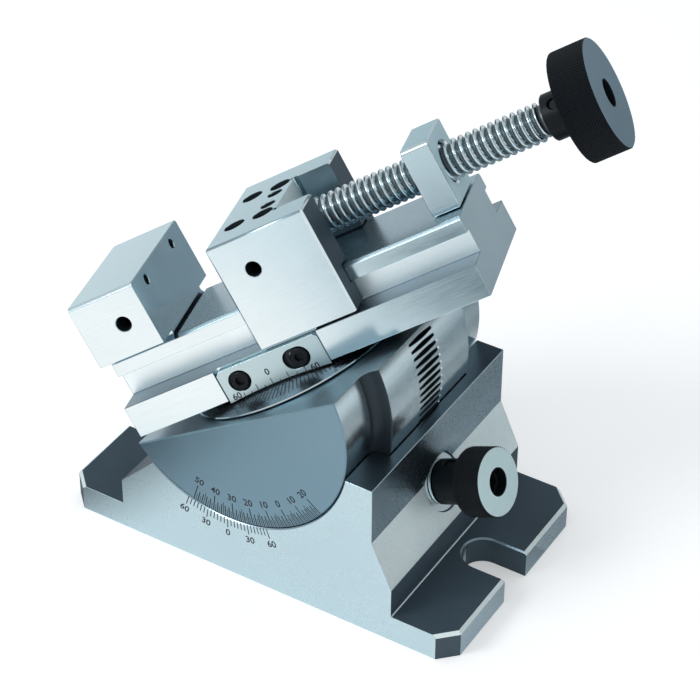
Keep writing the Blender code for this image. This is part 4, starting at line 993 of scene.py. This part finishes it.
def make_jaw():
    side = body_half_width
    inner = rail_half_width + jaw_gap
    hook = neck_half_width + jaw_gap
    hook_top = rail_bottom - jaw_gap
    ceiling = rail_top + jaw_gap
    wall = jaw_left + pocket_place
    outline = mirrored([
        (inner, ceiling), (inner, hook_top), (hook, hook_top), (hook, jaw_bottom), (side, jaw_bottom),
        (side, jaw_top)])
    mesh = soften(prism(outline, jaw_left, jaw_right, "X"), top_chamfer, 1, lambda middle: (
        middle.z > ceiling and (middle.z > jaw_top - fine_break or abs(middle.y) > side - fine_break)))
    plate_left = jaw_left + slide_plate_inset - seat_gap
    plate_right = wall - slide_plate_inset + seat_gap
    plate_half = rail_half_width - slide_plate_inset + seat_gap
    tools = [
        box((wall, -pocket_half_width, rail_top),
            (jaw_right + overrun, pocket_half_width, jaw_top + overrun)),
        box((plate_left, -plate_half, rail_top),
            (plate_right, plate_half, ceiling + slide_plate_thickness + seat_gap))]
    holes = []
    for sign in (-1.0, 1.0):
        place = (jaw_left + jaw_stop_place, sign * side, spindle_height)
        holes.append((stop_hole_radius, stop_hole_depth, facing((0.0, sign, 0.0), place)))
        tools.append(drill(*holes[-1], flare=fine_break, point=drill_point))

    def sink(radius, depth, x, y, flare=hair_break):
        # A round hole down from the jaw's top.
        place = facing(UP, (x, y, jaw_top))
        tools.append(drill(radius, depth, place, flare=flare))
        return radius, depth, place

    screw_depth = jaw_top - jaw_screw_top + jaw_screw_head_height + seat_gap
    for sign in (-1.0, 1.0):
        holes.append(sink(
            retainer_radius + seat_gap, jaw_top - retainer_bottom, jaw_left + retainer_place,
            sign * retainer_offset, fine_break))
        for station in jaw_screw_stations:
            holes.append(sink(
                jaw_screw_head_radius + seat_gap, screw_depth, jaw_left + station,
                sign * jaw_screw_offset))
        sink(pocket_relief_radius, jaw_top - rail_top, wall, sign * pocket_half_width)
    radius = spindle_tail_radius + running_gap
    bore = bar(radius, wall + overrun, spindle_tail_start - seat_gap, round_steps, "X")
    tools.append(moved(bore, spindle_place))
    others = (
        # Painted shade: the insides of the holes take the dark bore steel.
        ("bore", inside(holes)),
        ("milled", lambda at, way: way.x > 0.99 and abs(at.x - wall) < near),
        # Painted shade: the pocket's side walls take a darker copy of the steel.
        ("flat", lambda at, way: (
            abs(way.y) > 0.99 and at.x > wall and abs(at.y) < pocket_half_width + near)),
        ("shade", endward(jaw_right)),
        # Partly painted shade: the top takes the darker top steel.
        ("top", upward(jaw_top)),
        # Painted shade: the chamfers along the top's sides take the darker wall steel.
        ("wall", lambda at, way: (
            way.z > 0.5 and 0.5 < abs(way.y) < 0.9 and at.z > jaw_top - 2.0 * top_chamfer)),
        # Painted highlight: the chamfers on the upright edges at the sides take a lighter copy of the
        # steel.
        ("bright", lambda at, way: (
            0.3 < way.x < 0.95 and abs(way.y) > 0.3 and abs(at.y) > side - MM)))
    piece("sliding_jaw", carve(mesh, tools), "jaw", "jaw", "movable_jaw", others=others)

    pin = turned([
        (retainer_radius - fine_break, retainer_top), (retainer_radius, retainer_top - fine_break),
        (retainer_radius, retainer_bottom)], small_steps)
    copies("retainer", "retainer_pin", pin, "jaw", [
        Matrix.Translation((jaw_left + retainer_place, sign * retainer_offset, 0.0))
        for sign in (-1.0, 1.0)])
    radius = jaw_screw_head_radius
    screw = socket_screw([
        (radius - edge_break, jaw_screw_top), (radius, jaw_screw_top - edge_break),
        (radius, jaw_screw_top - jaw_screw_head_height)], jaw_socket_flats, jaw_socket_depth)
    copies("jaw_cap_screw", "jaw_screw", screw, "jaw", [
        Matrix.Translation((jaw_left + station, sign * jaw_screw_offset, 0.0))
        for station in jaw_screw_stations for sign in (-1.0, 1.0)])


def make_nut_block():
    outline = block_outline(nut_half_width, rail_top + seat_gap, jaw_top, nut_chamfer)
    mesh = soften(prism(outline, nut_left, nut_left + nut_length, "X"), edge_break)
    radius = spindle_radius + running_gap
    flare = 2.0 * mouth
    right = nut_left + nut_length
    bore = [
        (radius + flare, right + overrun), (radius + flare, right), (radius, right - flare),
        (radius, nut_left + flare), (radius + flare, nut_left), (radius + flare, nut_left - overrun)]
    tool = moved(turned(bore, round_steps, "X"), spindle_place)
    # Partly painted shade: the top takes the darker top steel.
    others = (("dull", endward(right)), ("top", upward(jaw_top)))
    piece("nut_pillar", carve(mesh, [tool]), "vise", "jaw", "nut_block", others=others)


# ---- spindle, worm and knobs

def threaded_rod(low, high, crest, root, pitch, rows_a_turn=14, steps=60):
    # A rod along Z with a round-crested right-hand thread that fades in and out at its ends.
    rows = round((high - low) / pitch * rows_a_turn)
    loops = []
    for row in range(rows + 1):
        station = low + (high - low) * row / rows
        fade = min(1.0, (station - low) / pitch, (high - station) / pitch)
        loop = []
        for index in range(steps):
            wave = 0.5 - 0.5 * cos(2.0 * pi * (station / pitch - index / steps))
            wave = 0.5 * wave + 0.5 * wave * wave * (3.0 - 2.0 * wave)
            loop.append(polar(root + (crest - root) * wave * fade, 2.0 * pi * index / steps, station))
        loops.append(loop)
    return loft(loops)


def knurled_knob(hub, start, shoulder, radius, face, edge):
    # A knob along Z: plain hub, then a head whose rim carries diamonds of four facets each.
    work = bmesh.new()
    count = round(2.0 * pi * radius / knurl_pitch)
    total = 2 * count
    low = shoulder + edge
    high = face - edge
    rows = 2 * round((high - low) / knurl_pitch)
    rim = radius - knurl_depth
    step = pi / count

    def ring(even, station, odd=None):
        # The odd places of a ring may lie at a radius of their own.
        radii = (even, even if odd is None else odd)
        return [work.verts.new(polar(radii[index % 2], index * step, station)) for index in range(total)]

    crossings = []
    for row in range(rows + 1):
        # Even places of an even row lie in a groove, odd ones are peaks; odd rows swap them.
        station = low + (high - low) * row / rows
        crossings.append(ring(radius, station, rim) if row % 2 else ring(rim, station, radius))
    for row in range(rows + 1):
        for index in range((row + 1) % 2, total, 2):
            peak = crossings[row][index]
            left = crossings[row][index - 1]
            right = crossings[row][(index + 1) % total]
            if row < rows:
                above = crossings[row + 1][index]
                work.faces.new((peak, above, left))
                work.faces.new((peak, right, above))
            if row > 0:
                beneath = crossings[row - 1][index]
                work.faces.new((peak, left, beneath))
                work.faces.new((peak, beneath, right))
    soft = 0.3 * edge
    upper = [
        crossings[-1], ring(rim - soft, high + soft), ring(radius - edge - soft, face - 0.1 * edge),
        ring(radius - edge - 2.0 * soft, face)]
    lower = [
        crossings[0], ring(rim - soft, low - soft), ring(radius - edge - soft, shoulder + 0.1 * edge),
        ring(radius - edge - 2.0 * soft, shoulder), ring(hub + edge_break, shoulder),
        ring(hub, shoulder - edge_break), ring(hub, start + edge_break), ring(hub - edge_break, start)]
    for first, second in zip(upper, upper[1:]):
        bridge(work, first, second)
    for first, second in zip(lower, lower[1:]):
        bridge(work, second, first)
    work.faces.new(upper[-1])
    work.faces.new(list(reversed(lower[-1])))
    return closed_mesh(work)


def make_knob(name, node, body, face_look, hub, start, shoulder, radius, face, flats, depth, bore, turn):
    top = Matrix.Translation((0.0, 0.0, face))
    outward = Vector((cos(turn), sin(turn), 0.0))
    hole = facing(outward, outward * hub + Vector((0.0, 0.0, start + knob_screw_place)))
    tools = [
        hexagon(flats, face - depth, face - knob_mouth_depth),
        drill(knob_mouth_radius, knob_mouth_depth, top, fine_break),
        moved(bar(bore, depth, -overrun), Matrix.Translation((0.0, 0.0, start))),
        drill(knob_screw_radius + seat_gap, hub - bore + seat_gap, hole)]
    mesh = carve(knurled_knob(hub, start, shoulder, radius, face, knob_edge), tools)
    front = (face_look, lambda at, way: at.z > face - hair)
    piece(name, mesh, body, "black", node, 20.0, (front,), along["X"])


def make_spindle():
    neck_low = jaw_left + retainer_place - spindle_neck_length / 2.0
    neck_high = neck_low + spindle_neck_length
    thread = threaded_rod(
        spindle_thread_start, spindle_thread_end, spindle_radius, thread_root_radius, thread_pitch)
    stub = bar(
        spindle_stub_radius, hub_start + spindle_stub_length, spindle_thread_end - overrun, round_steps)
    tail = turned([
        (spindle_tail_radius, spindle_thread_start + overrun), (spindle_tail_radius, neck_high),
        (spindle_neck_radius, neck_high), (spindle_neck_radius, neck_low),
        (spindle_tail_radius, neck_low), (spindle_tail_radius, spindle_tail_start)])
    whole = joined([(mesh, world_place) for mesh in (thread, stub, tail)])
    # Painted shade: the thread's roots take a darker steel than its crests.
    deep = thread_root_radius + 0.3 * (spindle_radius - thread_root_radius)
    root = ("valley", lambda at, way: (
        spindle_thread_start < at.z < spindle_thread_end and hypot(at.x, at.y) < deep))
    piece("lead_screw", whole, "spindle", "thread", "spindle", 60.0, (root,), along["X"])


def make_knobs():
    make_knob(
        "spindle_handwheel", "spindle_knob", "spindle", "black_face", hub_radius, hub_start, knob_start,
        knob_radius, knob_face, knob_socket_flats, knob_socket_depth, knob_bore_radius, radians(45.0))
    make_knob(
        "worm_handwheel", "worm_knob", "worm", "bare_face", small_hub_radius, small_hub_start,
        small_knob_start, small_knob_radius, small_knob_face, small_socket_flats, small_socket_depth,
        worm_stub_radius + seat_gap, 0.0)


# ---- engraved scales

def mark(length, width):
    # A line that starts at its place's origin and runs along +Y, standing a hair proud in +Z.
    return box((-width / 2.0, 0.0, -inlay), (width / 2.0, length, inlay))


def numeral(text, size=numeral_size):
    curve = bpy.data.curves.new("numeral", "FONT")
    curve.body = text
    curve.size = size
    curve.align_x = "CENTER"
    curve.align_y = "CENTER"
    curve.extrude = inlay
    curve.offset = numeral_weight
    curve.resolution_u = 4
    helper = added("numeral", curve)
    mesh = baked(helper)
    bpy.data.objects.remove(helper, do_unlink=True)
    return mesh


def on_face(radius, degrees):
    # A place on the front face at an angle from straight down, with +Y towards the axis.
    angle = radians(degrees)
    axes = ((cos(angle), 0.0, sin(angle)), (-sin(angle), 0.0, cos(angle)), (0.0, -1.0, 0.0))
    matrix = Matrix(axes).transposed().to_4x4()
    matrix.translation = (radius * sin(angle), -base_width / 2.0, -radius * cos(angle))
    return matrix


def make_drum_scale():
    marks = []
    for degree in range(-50, 21):
        length, width = even_mark if degree % 2 == 0 else odd_mark
        if degree % 5 == 0:
            length = tenth_mark if degree % 10 == 0 else fifth_mark
        marks.append((mark(length, width), on_face(end_disc_radius - drum_mark_drop, degree)))
    for degree in range(-50, 21, 10):
        marks.append((numeral(str(abs(degree))), on_face(drum_numeral_radius, degree)))
    piece("drum_scale", joined(marks), "drum", "ink")


def make_cradle_scale():
    marks = []
    for index in range(-12, 13):
        length = vernier_long if index % 6 == 0 else vernier_short
        radius = end_disc_radius + running_gap + vernier_gap + length
        marks.append((mark(length, vernier_width), on_face(radius, index * vernier_degrees)))
        if index % 6 == 0:
            place = on_face(vernier_numeral_radius, index * vernier_degrees)
            marks.append((numeral(str(abs(index) * 5)), place))
    piece("cradle_scale", joined(marks), "base", "ink", place=drum_place)


def make_plate_scale():
    marks = []
    for x, low, high in plate_marks:
        marks.append((mark((high - low) * MM, plate_mark_width), on_plate(x * MM, low * MM)))
    for text, x, z in plate_numerals:
        marks.append((numeral(text, plate_numeral_size), on_plate(x * MM, z * MM)))
    piece("plate_scale", joined(marks), "vise", "ink")


def make_disc_scale():
    marks = []
    lean = atan(cone_slope)
    length = (disc_mark_outer - disc_mark_inner) / cos(lean)
    for index in range(disc_mark_count):
        angle = radians(index * 360.0 / disc_mark_count)
        start = Vector(polar(disc_mark_outer, angle, cone_height(disc_mark_outer)))
        turn = Matrix.Rotation(angle + pi / 2.0, 4, "Z") @ Matrix.Rotation(lean, 4, "X")
        marks.append((mark(length, disc_mark_width), Matrix.Translation(start) @ turn))
    piece("disc_scale", joined(marks), "drum", "ink")


# ---- studio

def make_camera():
    data = bpy.data.cameras.new("camera")
    data.sensor_width = 36.0
    data.lens = camera_lens
    data.clip_end = 10.0
    camera = added("camera", data)
    turn = Matrix.Rotation(camera_azimuth, 4, "Z") @ Matrix.Rotation(pi / 2.0 - camera_height, 4, "X")
    turn = turn @ Matrix.Rotation(camera_roll, 4, "Z")
    camera.matrix_world = Matrix.Translation(camera_position) @ turn
    bpy.context.scene.camera = camera


def seen(tree):
    # One for a ray from the eye, from metal or through the clear part of a card, otherwise zero.
    path = add_node(tree, "LightPath", {}).outputs
    direct = add_node(
        tree, "Math", {0: path["Is Camera Ray"], 1: path["Is Glossy Ray"]}, operation="MAXIMUM")
    either = {0: direct.outputs["Value"], 1: path["Is Transmission Ray"]}
    return add_node(tree, "Math", either, operation="MAXIMUM").outputs["Value"]


def blend(tree, target, share, first, second):
    # Ends the tree in the first shader, which turns into the second as the share rises.
    choice = add_node(tree, "MixShader", {"Fac": share, 1: first, 2: second})
    add_node(tree, "Output" + target, {"Surface": choice.outputs["Shader"]})


def make_world():
    # White to the eye, a little lower in metal, and a soft even light on everything else.
    world = bpy.data.worlds.new("studio")
    bpy.context.scene.world = world
    world.use_nodes = True
    tree = world.node_tree
    tree.nodes.clear()
    eye = add_node(tree, "LightPath", {}).outputs["Is Camera Ray"]
    level = add_node(tree, "MapRange", {"Value": eye, "To Min": 0.8, "To Max": 1.0}).outputs["Result"]
    white = add_node(tree, "Background", {"Color": (1.0, 1.0, 1.0, 1.0), "Strength": level})
    soft = add_node(tree, "Background", {"Color": (0.93, 0.97, 1.0, 1.0), "Strength": 0.75})
    blend(tree, "World", seen(tree), soft.outputs["Background"], white.outputs["Background"])


def sheet(name, size):
    # A flat square with a material of its own, and that material's tree.
    work = bmesh.new()
    bmesh.ops.create_grid(work, x_segments=1, y_segments=1, size=size)
    made = added(name, finish_mesh(work))
    material = bpy.data.materials.new(name)
    material.use_nodes = True
    made.data.materials.append(material)
    return made, material.node_tree


def make_card(name, place, size, colour, core=0.5, strength=1.0):
    # A reflector card with a soft edge, seen only in the metal.
    card, tree = sheet(name, 1.0)
    card.matrix_world = place @ Matrix.Diagonal((size[0], size[1], 1.0, 1.0))
    for rays in ("camera", "diffuse", "shadow", "transmission"):
        setattr(card, "visible_" + rays, False)
    tree.nodes.clear()
    where = add_node(tree, "TexCoord", {}).outputs["Object"]
    far = add_node(tree, "VectorMath", {0: where}, operation="LENGTH").outputs["Value"]
    fall = add_node(
        tree, "MapRange", {"Value": far, "From Min": core, "To Min": 1.0, "To Max": 0.0},
        interpolation_type="SMOOTHSTEP")
    clear = add_node(tree, "BsdfTransparent", {})
    tone = add_node(tree, "Emission", {"Color": (*colour, 1.0), "Strength": strength})
    blend(tree, "Material", fall.outputs["Result"], clear.outputs["BSDF"], tone.outputs["Emission"])


def make_cards():
    above = facing((0.41, -0.67, -0.62), (-0.41, 0.67, 0.65))
    make_card("card_above", above, (0.52, 0.52), (0.03, 0.055, 0.08))
    beside = facing((-0.74, -0.67, -0.05), (0.62, 0.57, 0.11))
    make_card("card_low", beside, (0.34, 0.24), (0.02, 0.035, 0.045))
    # The cards beside and to the left lie close by the block where the floor is in shade: painted shadow,
    # dark sheets that the metal shows.
    for name, x, y, size, colour, core, strength in (
            ("card_painted_shadow_right", 0.15, 0.11, (0.13, 0.17), (0.04, 0.06, 0.07), 0.6, 1.0),
            ("card_behind", 0.11, 0.50, (0.34, 0.48), (0.24, 0.31, 0.36), 0.5, 1.0),
            ("card_far", -0.80, 0.72, (0.50, 0.50), (0.44, 0.61, 0.66), 0.6, 1.0),
            ("card_front", 0.24, -0.49, (0.17, 0.22), (0.06, 0.11, 0.14), 0.6, 1.0),
            ("card_painted_shadow_left", -0.13, -0.085, (0.10, 0.12), (0.02, 0.04, 0.05), 0.5, 1.0),
            ("card_bright", -0.02, -0.36, (0.13, 0.26), (1.0, 0.86, 0.81), 0.5, 1.75)):
        make_card(name, Matrix.Translation((x, y, card_lift)), size, colour, core, strength)


def make_floor():
    floor, tree = sheet("floor", 4.0)
    floor.location.z = -floor_drop
    glow = add_node(tree, "Math", {0: seen(tree), 1: 0.32}, operation="MULTIPLY")
    feed(tree, tree.nodes["Principled BSDF"], {
        "Base Color": (0.80, 0.80, 0.80, 1.0), "Roughness": 0.9, "Emission Color": (1.0, 1.0, 1.0, 1.0),
        "Emission Strength": glow.outputs["Value"]})


def make_lamp():
    data = bpy.data.lights.new("key_lamp", "AREA")
    data.shape = "DISK"
    data.size = 0.5
    data.energy = 6.0
    position = Vector((-0.55, -0.75, 0.85))
    added("key_lamp", data).matrix_world = facing(position - Vector((0.0, 0.0, 0.05)), position)


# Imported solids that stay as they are, by look
carried = {
    "black": (
        "worm_sleeve_screw", "clamp_tee_nut_1", "clamp_tee_nut_2", "clamp_bolt_1", "clamp_bolt_2",
        "swivel_disc_screw_1", "swivel_disc_screw_2", "swivel_disc_screw_3", "swivel_disc_screw_4",
        "nut_screw_1", "nut_screw_2", "slide_plate", "spindle_knob_screw", "worm_knob_screw"),
    "thread": ("clamp_washer_1", "clamp_washer_2", "swivel_pivot", "worm_shaft", "worm_thrust_washer"),
    # Painted highlight: the worm sleeve takes the lighter bright steel.
    "bright": ("worm_sleeve",),
    "bronze": ("worm_tail_bush",),
    "brass": ("swivel_lock_pad",),
}
for look, names in carried.items():
    for node in names:
        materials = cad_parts[node].data.materials
        materials.clear()
        materials.append(looks[look])

make_camera()
make_world()
make_cards()
make_floor()
make_lamp()
make_base()
make_drum()
make_disc()
make_body()
make_plate()
make_jaw()
make_nut_block()
make_spindle()
make_knobs()
make_drum_scale()
make_cradle_scale()
make_plate_scale()
make_disc_scale()

bpy.context.scene.view_settings.view_transform = "Standard"
